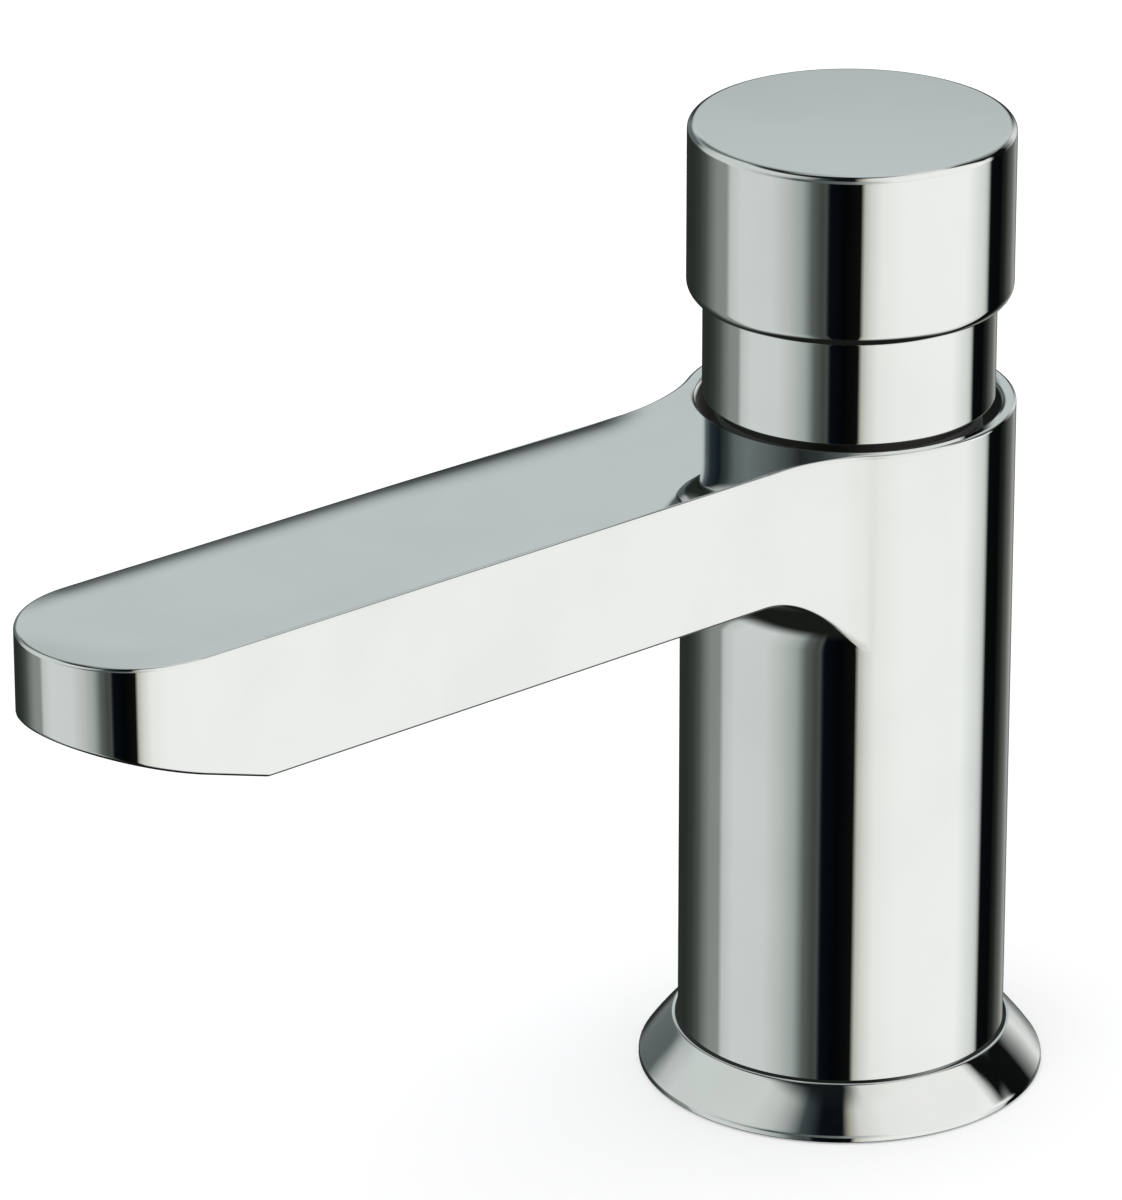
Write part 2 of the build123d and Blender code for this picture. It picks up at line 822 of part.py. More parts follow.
with BuildPart() as valve_washer:
    tube(
        spindle_radius + running_clearance,
        disc_radius - disc_rim_wall - running_clearance,
        disc_top,
        washer_top,
    )
save(valve_washer, "valve_washer")

with BuildPart() as disc_nut:
    hexagon(
        small_nut_across_flats,
        disc_nut_bottom,
        disc_bottom,
        spindle_neck_radius + ring_clearance,
    )
save(disc_nut, "disc_nut")

# Return spring: an open coil between the cylinder's floor and the piston, swept on pairs of
# tangent arcs that follow the helix
spring_low = cylinder_floor + spring_wire_radius + spring_end_clearance
spring_high = piston_bottom - spring_wire_radius - spring_end_clearance
spring_pitch = (spring_high - spring_low) / spring_turns


def helix_point(turn):
    """Gives a point of the spring's centre line after so many turns."""
    angle = 2 * pi * turn
    height = spring_low + spring_pitch * turn
    return Vector(spring_mean_radius * cos(angle), spring_mean_radius * sin(angle), height)


def helix_direction(turn):
    """Gives the unit direction of the spring's centre line after so many turns."""
    angle = 2 * pi * turn
    run = 2 * pi * spring_mean_radius
    return Vector(-run * sin(angle), run * cos(angle), spring_pitch).normalized()


with BuildPart() as return_spring:
    with BuildLine() as centre_line:
        for step in range(spring_turns * steps_per_turn):
            start = helix_point(step / steps_per_turn)
            end = helix_point((step + 1) / steps_per_turn)
            leaving = helix_direction(step / steps_per_turn)
            arriving = helix_direction((step + 1) / steps_per_turn)
            chord = end - start
            along = chord.dot(leaving + arriving)
            spread = 2 * (1 - leaving.dot(arriving))
            reach = (sqrt(along**2 + spread * chord.dot(chord)) - along) / spread
            first_corner = start + leaving * reach
            second_corner = end - arriving * reach
            middle = (first_corner + second_corner) / 2
            TangentArc(start, middle, tangent=leaving)
            TangentArc(middle, end, tangent=(second_corner - first_corner).normalized())
    with BuildSketch(Plane(origin=helix_point(0), z_dir=helix_direction(0))):
        RegularPolygon(spring_wire_radius, wire_section_sides)
    sweep()
save(return_spring, "return_spring")
coil = centre_line.wire()
samples = spring_turns * gap_samples_per_turn
coil_points = [coil @ (sample / samples) for sample in range(samples + 1)]
least_distance = min(
    (coil_points[later] - coil_points[earlier]).length
    for earlier in range(samples)
    for later in range(earlier + gap_samples_per_turn // 2, samples + 1)
)
print(f"least gap between the spring's curls: {least_distance - 2 * spring_wire_radius:.2f} mm")

# Button skirt: the sleeve below the cap that slides down into the body
with BuildPart() as button_skirt:
    turned(
        [
            (skirt_bore_radius, skirt_bottom),
            (skirt_radius - skirt_edge_bevel, skirt_bottom),
            (skirt_radius, skirt_bottom + skirt_edge_bevel),
            (skirt_radius, skirt_top),
            (skirt_bore_radius, skirt_top),
        ]
    )
save(button_skirt, "button_skirt")

# Push cap: the wide head, hollow below, with a ledge that clamps the hub onto the skirt
cap_bore_radius = skirt_radius + thread_clearance
cap_inner_top = cap_top - cap_top_wall
with BuildPart() as push_cap:
    with BuildSketch(Plane.XZ):
        with BuildLine():
            Polyline(
                (cap_radius - cap_top_round, cap_top),
                (0, cap_top),
                (0, cap_inner_top),
                (cap_bore_radius - cap_ledge, cap_inner_top),
                (cap_bore_radius - cap_ledge, hub_top),
                (cap_bore_radius, hub_top),
                (cap_bore_radius, cap_bottom),
                (cap_radius - cap_bottom_round, cap_bottom),
            )
            rounded_corner(
                (cap_radius - cap_bottom_round, cap_bottom),
                (cap_radius, cap_bottom),
                (cap_radius, cap_bottom + cap_bottom_round),
            )
            Line((cap_radius, cap_bottom + cap_bottom_round), (cap_radius, cap_top - cap_top_round))
            rounded_corner(
                (cap_radius, cap_top - cap_top_round),
                (cap_radius, cap_top),
                (cap_radius - cap_top_round, cap_top),
            )
        make_face()
    revolve(axis=Axis.Z)
save(push_cap, "push_cap")

# Button hub: ribbed plastic disc that ties the cap and skirt to the spindle
with BuildPart() as button_hub:
    hub_radius = cap_bore_radius - hub_rim_clearance
    boss_bottom = skirt_top - hub_boss_depth
    turned(
        [
            (0, boss_bottom),
            (hub_boss_radius, boss_bottom),
            (hub_boss_radius, skirt_top),
            (hub_radius, skirt_top),
            (hub_radius, hub_top),
            (0, hub_top),
        ]
    )
    with BuildSketch(Plane.XY.offset(skirt_top - hub_rib_depth)):
        rib_length = skirt_bore_radius - moving_clearance
        with PolarLocations(rib_length / 2, hub_rib_count):
            Rectangle(rib_length, hub_rib_thickness)
    extrude(amount=hub_rib_depth)
    with BuildSketch(Plane.XY.offset(boss_bottom)):
        Circle(neck_bore_radius)
    extrude(amount=spindle_top - boss_bottom, mode=Mode.SUBTRACT)
    with BuildSketch(Plane.XY.offset(spindle_top)):
        Circle(hub_screw_radius + running_clearance)
    extrude(amount=hub_top - spindle_top, mode=Mode.SUBTRACT)
save(button_hub, "button_hub")

with BuildPart() as hub_screw:
    with BuildSketch(Plane.XY.offset(hub_top - hub_screw_length)):
        Circle(hub_screw_radius)
    extrude(amount=hub_screw_length)
    with BuildSketch(Plane.XY.offset(hub_top)):
        Circle(hub_screw_head_radius)
    extrude(amount=hub_screw_head_height)
    with BuildSketch(Plane.XY.offset(hub_top + hub_screw_head_height - hub_screw_socket_depth)):
        RegularPolygon(hub_screw_socket_radius, hexagon_sides)
    extrude(amount=hub_screw_socket_depth, mode=Mode.SUBTRACT)
save(hub_screw, "hub_screw")

# Aerator: keyed housing, jet insert, flow regulator and sealing washer, square to the outlet face
aerator_body_radius = aerator_radius - thread_clearance
insert_radius = aerator_body_radius - aerator_wall
insert_start = aerator_recess + aerator_lip_depth
insert_end = insert_start + insert_length
with BuildPart() as aerator_housing:
    with BuildSketch(outlet_plane.offset(aerator_recess)):
        Circle(aerator_body_radius)
        Circle(insert_radius - aerator_lip, mode=Mode.SUBTRACT)
    extrude(amount=aerator_lip_depth)
    with BuildSketch(outlet_plane.offset(insert_start)):
        Circle(aerator_body_radius)
        Circle(insert_radius + thread_clearance, mode=Mode.SUBTRACT)
    extrude(amount=aerator_housing_depth - insert_start)
    with BuildSketch(outlet_plane.offset(aerator_recess)):
        with PolarLocations(insert_radius - aerator_lip, aerator_key_count):
            Rectangle(aerator_lip + aerator_wall, aerator_key_width)
    extrude(amount=aerator_key_depth, mode=Mode.SUBTRACT)
save(aerator_housing, "aerator_housing")

with BuildPart() as aerator_insert:
    with BuildSketch(outlet_plane.offset(insert_start)):
        Circle(insert_radius)
        honeycomb(jet_pitch, jet_radius, Mode.SUBTRACT)
    extrude(amount=insert_length)
save(aerator_insert, "aerator_insert")

with BuildPart() as flow_regulator:
    with BuildSketch(outlet_plane.offset(insert_end)):
        Circle(regulator_radius)
        with PolarLocations(regulator_hole_circle, regulator_hole_count):
            Circle(regulator_hole_radius, mode=Mode.SUBTRACT)
    extrude(amount=regulator_thickness)
save(flow_regulator, "flow_regulator")

with BuildPart() as aerator_seal:
    with BuildSketch(outlet_plane.offset(aerator_housing_depth)):
        Circle(aerator_body_radius)
        Circle(aerator_body_radius - aerator_seal_width, mode=Mode.SUBTRACT)
    extrude(amount=aerator_socket_depth - aerator_housing_depth)
save(aerator_seal, "aerator_seal")
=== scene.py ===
import json
import logging
from collections.abc import Callable, Iterable, Sequence
from dataclasses import dataclass
from enum import Enum
from math import asin, atan2, cos, degrees, hypot, pi, radians, sin, sqrt, tan

import bmesh
import bpy
from mathutils import Matrix, Vector


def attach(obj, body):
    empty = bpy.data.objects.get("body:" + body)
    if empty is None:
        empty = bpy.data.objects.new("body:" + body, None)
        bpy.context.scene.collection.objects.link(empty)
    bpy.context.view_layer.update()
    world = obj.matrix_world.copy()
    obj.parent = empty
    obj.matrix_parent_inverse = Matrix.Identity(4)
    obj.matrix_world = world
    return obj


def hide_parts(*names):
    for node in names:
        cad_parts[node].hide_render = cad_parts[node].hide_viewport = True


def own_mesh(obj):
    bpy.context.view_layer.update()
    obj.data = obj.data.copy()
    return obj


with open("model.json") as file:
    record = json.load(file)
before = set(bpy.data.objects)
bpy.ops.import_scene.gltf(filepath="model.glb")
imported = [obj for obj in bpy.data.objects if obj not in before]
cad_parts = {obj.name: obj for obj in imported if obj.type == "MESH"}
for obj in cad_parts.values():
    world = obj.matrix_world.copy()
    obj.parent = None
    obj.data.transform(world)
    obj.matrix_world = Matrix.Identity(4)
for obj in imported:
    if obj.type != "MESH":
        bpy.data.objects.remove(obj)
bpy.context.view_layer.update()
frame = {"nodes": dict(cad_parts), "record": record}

MM = 0.001
FULL_TURN = 2 * pi
UPWARDS = Vector((0, 0, 1))
log = logging.getLogger("timed_tap")

Paint = tuple[float, float, float, float]


class Body(Enum):
    """The bodies of the frame that a piece can ride on."""

    TAP = "tap"
    BUTTON = "button"


class Slot(Enum):
    """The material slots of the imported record."""

    CHROME = "polished_chrome"
    BRASS = "plain_brass"
    STEEL = "stainless_steel"
    RUBBER = "black_rubber"
    PLASTIC = "dark_plastic"
    JETS = "aerator_plastic"


# Shader maths


def linear(*channels: float) -> Paint:
    """Turns a screen colour of 0 to 255 into scene light.

    Args:
        channels: red, green and blue as a screen shows them.

    Returns:
        The colour with an alpha of one.
    """
    shares = [channel / 255 for channel in channels]
    light = [s / 12.92 if s <= 0.04045 else ((s + 0.055) / 1.055) ** 2.4 for s in shares]
    return (light[0], light[1], light[2], 1.0)


class Shade:
    """A number in a node tree that Python's operators turn into Math nodes."""

    def __init__(self, graph: "NodeGraph", socket: bpy.types.NodeSocket) -> None:
        """Keeps the tree and the socket that gives the number."""
        self.graph = graph
        self.socket = socket

    def _math(self, operation: str, *values: "Shade | float") -> "Shade":
        """Adds one Math node.

        Args:
            operation: the node's operation.
            values: its inputs in order.

        Returns:
            The node's result.
        """
        inputs = dict(enumerate(values))
        return self.graph.number("ShaderNodeMath", {"operation": operation}, inputs)

    def __add__(self, other: "Shade | float") -> "Shade":
        """Adds."""
        return self._math("ADD", self, other)

    def __radd__(self, other: float) -> "Shade":
        """Adds to a plain number."""
        return self._math("ADD", other, self)

    def __sub__(self, other: "Shade | float") -> "Shade":
        """Subtracts."""
        return self._math("SUBTRACT", self, other)

    def __rsub__(self, other: float) -> "Shade":
        """Subtracts from a plain number."""
        return self._math("SUBTRACT", other, self)

    def __mul__(self, other: "Shade | float") -> "Shade":
        """Multiplies."""
        return self._math("MULTIPLY", self, other)

    def __rmul__(self, other: float) -> "Shade":
        """Multiplies a plain number."""
        return self._math("MULTIPLY", other, self)

    def __truediv__(self, other: "Shade | float") -> "Shade":
        """Divides."""
        return self._math("DIVIDE", self, other)

    def root(self) -> "Shade":
        """Gives the square root."""
        return self._math("SQRT", self)

    def bearing(self, ahead: "Shade") -> "Shade":
        """Gives the angle whose two legs are this number and the one ahead, in radians."""
        return self._math("ARCTAN2", self, ahead)

    def step(self, low: float, high: float) -> "Shade":
        """Rises smoothly from nought to one.

        Args:
            low: where it leaves nought.
            high: where it reaches one.

        Returns:
            The smooth step.
        """
        settings = {"interpolation_type": "SMOOTHSTEP"}
        inputs = {"Value": self, "From Min": low, "From Max": high}
        return self.graph.number("ShaderNodeMapRange", settings, inputs, "Result")

    def between(self, low: float, high: float) -> "Shade":
        """Stretches a number of nought to one over a range.

        Args:
            low: the value at nought.
            high: the value at one.

        Returns:
            The stretched number.
        """
        return self * (high - low) + low


Value = Shade | bpy.types.NodeSocket | float | Sequence[float]


class NodeGraph:
    """A node tree that is filled through one method."""

    def __init__(self, tree: bpy.types.NodeTree) -> None:
        """Empties the tree and keeps it."""
        self.tree = tree
        tree.nodes.clear()

    def node(
        self,
        kind: str,
        settings: dict[str, object] | None = None,
        inputs: dict[str | int, Value] | None = None,
    ) -> bpy.types.Node:
        """Adds a node.

        Args:
            kind: the node's type.
            settings: its properties, set first; "stops" are a ramp's (place, colour) pairs.
            inputs: values or links of its sockets by name or number.

        Returns:
            The new node.
        """
        made = self.tree.nodes.new(kind)
        for name, value in (settings or {}).items():
            if name == "stops":
                self._set_stops(made.color_ramp, value)
            else:
                setattr(made, name, value)
        for name, value in (inputs or {}).items():
            socket = made.inputs[name]
            source = value.socket if isinstance(value, Shade) else value
            if isinstance(source, bpy.types.NodeSocket):
                self.tree.links.new(source, socket)
            else:
                socket.default_value = source
        return made

    @staticmethod
    def _set_stops(
        ramp: bpy.types.ColorRamp, stops: Sequence[tuple[float, Sequence[float]]]
    ) -> None:
        """Writes a ramp's stops.

        Args:
            ramp: the ramp.
            stops: (place, colour) pairs in rising order.
        """
        while len(ramp.elements) < len(stops):
            ramp.elements.new(1.0)
        for element, (place, colour) in zip(ramp.elements, stops, strict=True):
            element.position = place
            element.color = colour

    def number(
        self,
        kind: str,
        settings: dict[str, object] | None = None,
        inputs: dict[str | int, Value] | None = None,
        output: str | int = 0,
    ) -> Shade:
        """Adds a node and wraps the number that it gives.

        Args:
            kind: the node's type.
            settings: its properties.
            inputs: values or links of its sockets.
            output: which output is wanted.

        Returns:
            The wrapped output.
        """
        return Shade(self, self.node(kind, settings, inputs).outputs[output])

    def mix_colours(self, share: Shade, first: Value, second: Value) -> bpy.types.NodeSocket:
        """Mixes two colours.

        Args:
            share: nought gives the first, one the second.
            first: a colour or a link.
            second: a colour or a link.

        Returns:
            The mixed colour's socket.
        """
        settings = {"data_type": "RGBA", "blend_type": "MIX"}
        made = self.node("ShaderNodeMix", settings, {0: share, 6: first, 7: second})
        return made.outputs[2]

    def noise(self, where: Value, scale: float, detail: float) -> Shade:
        """Adds smooth noise.

        Args:
            where: the point that it is read at.
            scale: how many patches fit in a metre.
            detail: how many finer layers are added.

        Returns:
            The noise, about one half on average.
        """
        inputs = {"Vector": where, "Scale": scale, "Detail": detail}
        return self.number("ShaderNodeTexNoise", {"noise_dimensions": "3D"}, inputs)


# Finishes


class Surface:
    """The start and the end that every finish shares."""

    def __init__(self, name: str) -> None:
        """Makes an empty material and reads the piece's own coordinates.

        Args:
            name: the material's name.
        """
        self.material = bpy.data.materials.new(name)
        self.material.use_nodes = True
        self.graph = NodeGraph(self.material.node_tree)
        self.where = self.graph.node("ShaderNodeTexCoord").outputs["Object"]

    def lathe_marks(self, fineness: float) -> Shade:
        """Rings that a lathe leaves, which run round the tap's axis.

        Args:
            fineness: how many marks fit in a metre.

        Returns:
            The marks, about one half on average.
        """
        parts = self.graph.node("ShaderNodeSeparateXYZ", inputs={"Vector": self.where})
        x, y, z = (Shade(self.graph, output) for output in parts.outputs)
        radius = (x * x + y * y).root()
        ringed = self.graph.node("ShaderNodeCombineXYZ", inputs={0: radius, 1: z, 2: 0.0})
        return self.graph.noise(ringed.outputs[0], fineness, 3.0)

    def raised(self, height: Shade, depth: float) -> bpy.types.NodeSocket:
        """Turns a height into a bump.

        Args:
            height: the relief, nought to one.
            depth: how deep it is, in metres.

        Returns:
            The normal's socket.
        """
        inputs = {"Strength": 1.0, "Distance": depth, "Height": height}
        return self.graph.node("ShaderNodeBump", inputs=inputs).outputs[0]

    def finish(self, inputs: dict[str | int, Value]) -> bpy.types.Material:
        """Ends the tree with its shader.

        Args:
            inputs: the shader's values and links.

        Returns:
            The finished material.
        """
        shader = self.graph.node("ShaderNodeBsdfPrincipled", inputs=inputs)
        surface = {"Surface": shader.outputs[0]}
        self.graph.node("ShaderNodeOutputMaterial", inputs=surface)
        return self.material


@dataclass(frozen=True)
class PolishedChrome:
    """Bright plate: buffed to a mirror, with the faint haze and drift that the wheel leaves."""

    colour: Paint = (0.800, 0.808, 0.806, 1.0)
    haze_colour: Paint = (0.775, 0.785, 0.784, 1.0)
    roughness_low: float = 0.022
    roughness_high: float = 0.05
    haze_scale: float = 55.0
    buffing_scale: float = 420.0
    buffing_stretch: float = 14.0
    drift_scale: float = 24.0
    drift_depth: float = 0.000002

    def make(self, name: str) -> bpy.types.Material:
        """Makes the plate's material.

        Args:
            name: the material's name.

        Returns:
            The material.
        """
        surface = Surface(name)
        graph = surface.graph
        haze = graph.noise(surface.where, self.haze_scale, 4.0).step(0.42, 0.68)
        squeezed = {"Vector": surface.where, "Scale": (1.0, 1.0, self.buffing_stretch)}
        stretched = graph.node("ShaderNodeMapping", inputs=squeezed).outputs[0]
        buffing = graph.noise(stretched, self.buffing_scale, 3.0)
        drift = graph.noise(surface.where, self.drift_scale, 1.0)
        rough = haze * 0.55 + buffing * 0.45
        return surface.finish(
            {
                "Base Color": graph.mix_colours(haze, self.colour, self.haze_colour),
                "Metallic": 1.0,
                "Roughness": rough.between(self.roughness_low, self.roughness_high),
                "Normal": surface.raised(drift, self.drift_depth),
            }
        )


@dataclass(frozen=True)
class MachinedMetal:
    """Bare metal with the rings of its last cut and a little tarnish."""

    colour: Paint
    tarnish: Paint
    roughness_low: float
    roughness_high: float
    mark_scale: float = 4200.0
    mark_depth: float = 0.000012
    stain_scale: float = 130.0

    def make(self, name: str) -> bpy.types.Material:
        """Makes the metal's material.

        Args:
            name: the material's name.

        Returns:
            The material.
        """
        surface = Surface(name)
        graph = surface.graph
        marks = surface.lathe_marks(self.mark_scale)
        stain = graph.noise(surface.where, self.stain_scale, 5.0).step(0.45, 0.75)
        rough = marks * 0.6 + stain * 0.4
        return surface.finish(
            {
                "Base Color": graph.mix_colours(stain, self.colour, self.tarnish),
                "Metallic": 1.0,
                "Roughness": rough.between(self.roughness_low, self.roughness_high),
                "Normal": surface.raised(marks, self.mark_depth),
            }
        )


@dataclass(frozen=True)
class MouldedStuff:
    """Rubber or plastic from a mould: a fine grain, with a bloom in random patches."""

    colour: Paint
    bloom: Paint
    roughness_low: float
    roughness_high: float
    grain_scale: float = 3800.0
    grain_depth: float = 0.00002
    bloom_scale: float = 95.0

    def make(self, name: str) -> bpy.types.Material:
        """Makes the moulding's material.

        Args:
            name: the material's name.

        Returns:
            The material.
        """
        surface = Surface(name)
        graph = surface.graph
        grain = graph.noise(surface.where, self.grain_scale, 2.0)
        bloom = graph.noise(surface.where, self.bloom_scale, 4.0).step(0.4, 0.8)
        rough = grain * 0.4 + bloom * 0.6
        return surface.finish(
            {
                "Base Color": graph.mix_colours(bloom, self.colour, self.bloom),
                "Roughness": rough.between(self.roughness_low, self.roughness_high),
                "Normal": surface.raised(grain, self.grain_depth),
            }
        )


class Finishes:
    """Every finish on the tap, made once and kept by its slot."""

    def __init__(self) -> None:
        """Makes the materials."""
        recipes = {
            Slot.CHROME: PolishedChrome(),
            Slot.BRASS: MachinedMetal((0.71, 0.53, 0.27, 1), (0.46, 0.32, 0.15, 1), 0.2, 0.36),
            Slot.STEEL: MachinedMetal((0.62, 0.62, 0.61, 1), (0.47, 0.47, 0.46, 1), 0.16, 0.36),
            Slot.RUBBER: MouldedStuff((0.022, 0.022, 0.023, 1), (0.05, 0.05, 0.05, 1), 0.5, 0.75),
            Slot.PLASTIC: MouldedStuff((0.1, 0.1, 0.11, 1), (0.13, 0.13, 0.14, 1), 0.34, 0.5),
            Slot.JETS: MouldedStuff((0.72, 0.73, 0.74, 1), (0.64, 0.65, 0.66, 1), 0.3, 0.45),
        }
        self.by_slot = {slot: recipe.make(slot.value) for slot, recipe in recipes.items()}
        # Painted shade: these two near-black metals stand for the shade inside the casting. The
        # first goes on the unplated faces inside the bores, the second on the hidden brass pieces.
        inside_painted_shade = MachinedMetal((0.03, 0.03, 0.028, 1), (0.015, 0.015, 0.015, 1), 0.4, 0.6)
        painted_brass_recipe = MachinedMetal((0.022, 0.021, 0.019, 1), (0.012, 0.012, 0.012, 1), 0.35, 0.5)
        self.unplated_painted_shade = inside_painted_shade.make("unplated_painted_shade")
        self.brass_painted_shade = painted_brass_recipe.make("brass_painted_shade")

    def dress(self, piece: bpy.types.Object, slot: Slot) -> None:
        """Puts one finish on a whole piece, and the near-black painted shade on its faces that are
        marked as inside.

        Args:
            piece: the piece.
            slot: which finish.
        """
        material = self.by_slot[slot]
        if piece.material_slots:
            for place in piece.material_slots:
                place.material = material
        else:
            piece.data.materials.append(material)
            # Faces marked as inside get the near-black painted shade.
            if any(face.material_index for face in piece.data.polygons):
                piece.data.materials.append(self.unplated_painted_shade)


# Mesh making


@dataclass(frozen=True)
class Corner:
    """A point of a turned section, in millimetres, with the round on it."""

    radius: float
    height: float
    round: float = 0.0
    steps: int = 4

    @property
    def place(self) -> Vector:
        """The point beside the axis."""
        return Vector((self.radius, 0, self.height))


def at_radius(place: Vector, radius: float, height: float) -> Vector:
    """Moves a point in or out from the axis, to another radius and height."""
    share = radius / hypot(place.x, place.y)
    return Vector((place.x * share, place.y * share, height))


def add_object(name: str, data: bpy.types.ID) -> bpy.types.Object:
    """Puts an object with its data into the scene."""
    made = bpy.data.objects.new(name, data)
    bpy.context.scene.collection.objects.link(made)
    return made


class Pen:
    """Draws a chain of edges by pulling out its last point."""

    def __init__(self, mesh: bmesh.types.BMesh, start: Vector | bmesh.types.BMVert) -> None:
        """Puts the first point down.

        Args:
            mesh: the mesh that is drawn in.
            start: a place, or a point that is already there.
        """
        self.mesh = mesh
        placed = isinstance(start, bmesh.types.BMVert)
        self.chain = [start if placed else mesh.verts.new(start)]
        self.edges: list[bmesh.types.BMEdge] = []

    def line_to(self, place: Vector) -> "Pen":
        """Draws a straight edge.

        Args:
            place: where it ends.

        Returns:
            The pen.
        """
        pulled = bmesh.ops.extrude_vert_indiv(self.mesh, verts=[self.chain[-1]])
        pulled["verts"][0].co = place
        self.chain.append(pulled["verts"][0])
        self.edges.append(pulled["edges"][0])
        return self

    def close_on(self, point: bmesh.types.BMVert) -> "Pen":
        """Draws an edge to a point that is already there.

        Args:
            point: the point.

        Returns:
            The pen.
        """
        made = bmesh.ops.contextual_create(self.mesh, geom=[self.chain[-1], point])
        self.chain.append(point)
        self.edges.append(made["edges"][0])
        return self

    def arc(self, centre: Vector, axis: Vector, angle: float, steps: int) -> "Pen":
        """Draws an arc.

        Args:
            centre: a point on its axis.
            axis: the direction of its axis.
            angle: how far it turns, in radians.
            steps: how many edges it has.

        Returns:
            The pen.
        """
        for _ in range(steps):
            turned = bmesh.ops.spin(
                self.mesh,
                geom=[self.chain[-1]],
                cent=centre,
                axis=axis,
                angle=angle / steps,
                steps=1,
                use_merge=False,
                use_duplicate=False,
            )
            point = next(g for g in turned["geom_last"] if isinstance(g, bmesh.types.BMVert))
            last = self.chain[-1]
            self.edges.append(next(e for e in point.link_edges if e.other_vert(point) is last))
            self.chain.append(point)
        return self

    def wind(self, rise: float, turns: float, steps: int) -> None:
        """Fills the closed outline and winds it up round the Z axis.

        Args:
            rise: how far it climbs in all.
            turns: how often it goes round.
            steps: how many lengths the winding has.
        """
        start = bmesh.ops.contextual_create(self.mesh, geom=self.edges)["faces"]
        bmesh.ops.spin(
            self.mesh,
            geom=[*start, *self.edges],
            cent=(0, 0, 0),
            axis=UPWARDS,
            dvec=(0, 0, rise / steps),
            angle=turns * FULL_TURN,
            steps=steps,
            use_merge=False,
            use_duplicate=False,
        )


class Draft:
    """A piece's mesh while it is worked on, in millimetres."""

    smooth_limit = radians(31.0)
    join_distance = 0.0005
    touch = 1e-4

    def __init__(self) -> None:
        """Starts an empty mesh."""
        self.mesh = bmesh.new()

    def section(self, corners: Sequence[Corner]) -> None:
        """Draws the closed outline of a turned piece beside the axis and rounds its corners.

        Args:
            corners: its corners in order.
        """
        pen = Pen(self.mesh, corners[0].place)
        for corner in corners[1:]:
            pen.line_to(corner.place)
        pen.close_on(pen.chain[0])
        for corner, point in zip(corners, list(pen.chain)):
            if corner.round:
                self.bevel([point], corner.round, corner.steps, "VERTICES")

    def bevel(
        self,
        parts: Sequence[bmesh.types.BMVert | bmesh.types.BMEdge],
        size: float,
        steps: int,
        affect: str = "EDGES",
    ) -> None:
        """Rounds edges, or the corners of an outline.

        Args:
            parts: the edges or the corners.
            size: how far from them the round starts.
            steps: how many facets the round has.
            affect: EDGES or VERTICES.
        """
        shape = {"affect": affect, "segments": steps, "profile": 0.5, "material": -1}
        bmesh.ops.bevel(self.mesh, geom=parts, offset=size, **shape)

    def turn(self, steps: int) -> None:
        """Turns everything drawn so far once about the Z axis.

        Args:
            steps: how many sides the round has.
        """
        bmesh.ops.spin(
            self.mesh,
            geom=self.mesh.verts[:] + self.mesh.edges[:],
            cent=(0, 0, 0),
            axis=UPWARDS,
            angle=FULL_TURN,
            steps=steps,
            use_merge=True,
            use_duplicate=False,
        )

    def pull(
        self, points: Sequence[bmesh.types.BMVert], move: Callable[[Vector], Vector]
    ) -> list[bmesh.types.BMVert]:
        """Pulls a wall out of a chain of points.

        Args:
            points: the chain in order.
            move: gives where a point of the chain goes.

        Returns:
            The new chain, in the same order.
        """
        edges = self.edges_along(points)
        pulled = bmesh.ops.extrude_edge_only(self.mesh, edges=edges)["geom"]
        fresh = {p for p in pulled if isinstance(p, bmesh.types.BMVert)}
        chain = []
        for point in points:
            beside = (edge.other_vert(point) for edge in point.link_edges)
            chain.append(next(twin for twin in beside if twin in fresh))
        for point, twin in zip(points, chain):
            twin.co = move(point.co.copy())
        return chain

    def pull_ring(
        self, points: Sequence[bmesh.types.BMVert], radius: float, height: float
    ) -> list[bmesh.types.BMVert]:
        """Pulls a wall out of a chain of points to another radius and height."""
        return self.pull(points, lambda place: at_radius(place, radius, height))

    @staticmethod
    def edge_of(first: bmesh.types.BMVert, second: bmesh.types.BMVert) -> bmesh.types.BMEdge:
        """Gives the edge between two points."""
        return next(e for e in first.link_edges if e.other_vert(first) is second)

    @classmethod
    def edges_along(cls, points: Sequence[bmesh.types.BMVert]) -> list[bmesh.types.BMEdge]:
        """Gives the edges along a chain of points."""
        return [cls.edge_of(a, b) for a, b in zip(points, points[1:])]

    def face(self, edges: Iterable[bmesh.types.BMEdge]) -> None:
        """Fills a closed flat outline.

        Args:
            edges: the outline's edges.
        """
        bmesh.ops.contextual_create(self.mesh, geom=list(edges))

    def paint_inside_shade(self, inside: Callable[[Vector], bool]) -> None:
        """Marks the faces inside, which the plating bath doesn't reach and which get the near-black
        painted shade.

        Args:
            inside: says whether a face is one of them, from its middle.
        """
        for face in self.mesh.faces:
            face.material_index = int(inside(face.calc_center_median()))

    def tidy(self) -> None:
        """Merges doubles and points every face outwards."""
        bmesh.ops.remove_doubles(self.mesh, verts=self.mesh.verts[:], dist=self.join_distance)
        bmesh.ops.recalc_face_normals(self.mesh, faces=self.mesh.faces[:])

    def make(self, name: str, place: Matrix | None = None) -> bpy.types.Object:
        """Ends the mesh: metres, smooth faces with crisp edges, and an object at the origin.

        Args:
            name: the piece's name.
            place: how the piece is turned and moved, in millimetres.

        Returns:
            The piece.
        """
        self.tidy()
        if place is not None:
            bmesh.ops.transform(self.mesh, matrix=place, verts=self.mesh.verts[:])
        bmesh.ops.scale(self.mesh, vec=(MM, MM, MM), verts=self.mesh.verts[:])
        for face in self.mesh.faces:
            face.smooth = True
        for edge in self.mesh.edges:
            level = edge.is_manifold and edge.calc_face_angle(0.0) < self.smooth_limit
            edge.smooth = level and not edge.seam
        made = bpy.data.meshes.new(name)
        self.mesh.to_mesh(made)
        self.mesh.free()
        piece = add_object(name, made)
        even = piece.modifiers.new("even_normals", "WEIGHTED_NORMAL")
        even.keep_sharp = True
        even.mode = "FACE_AREA"
        return piece


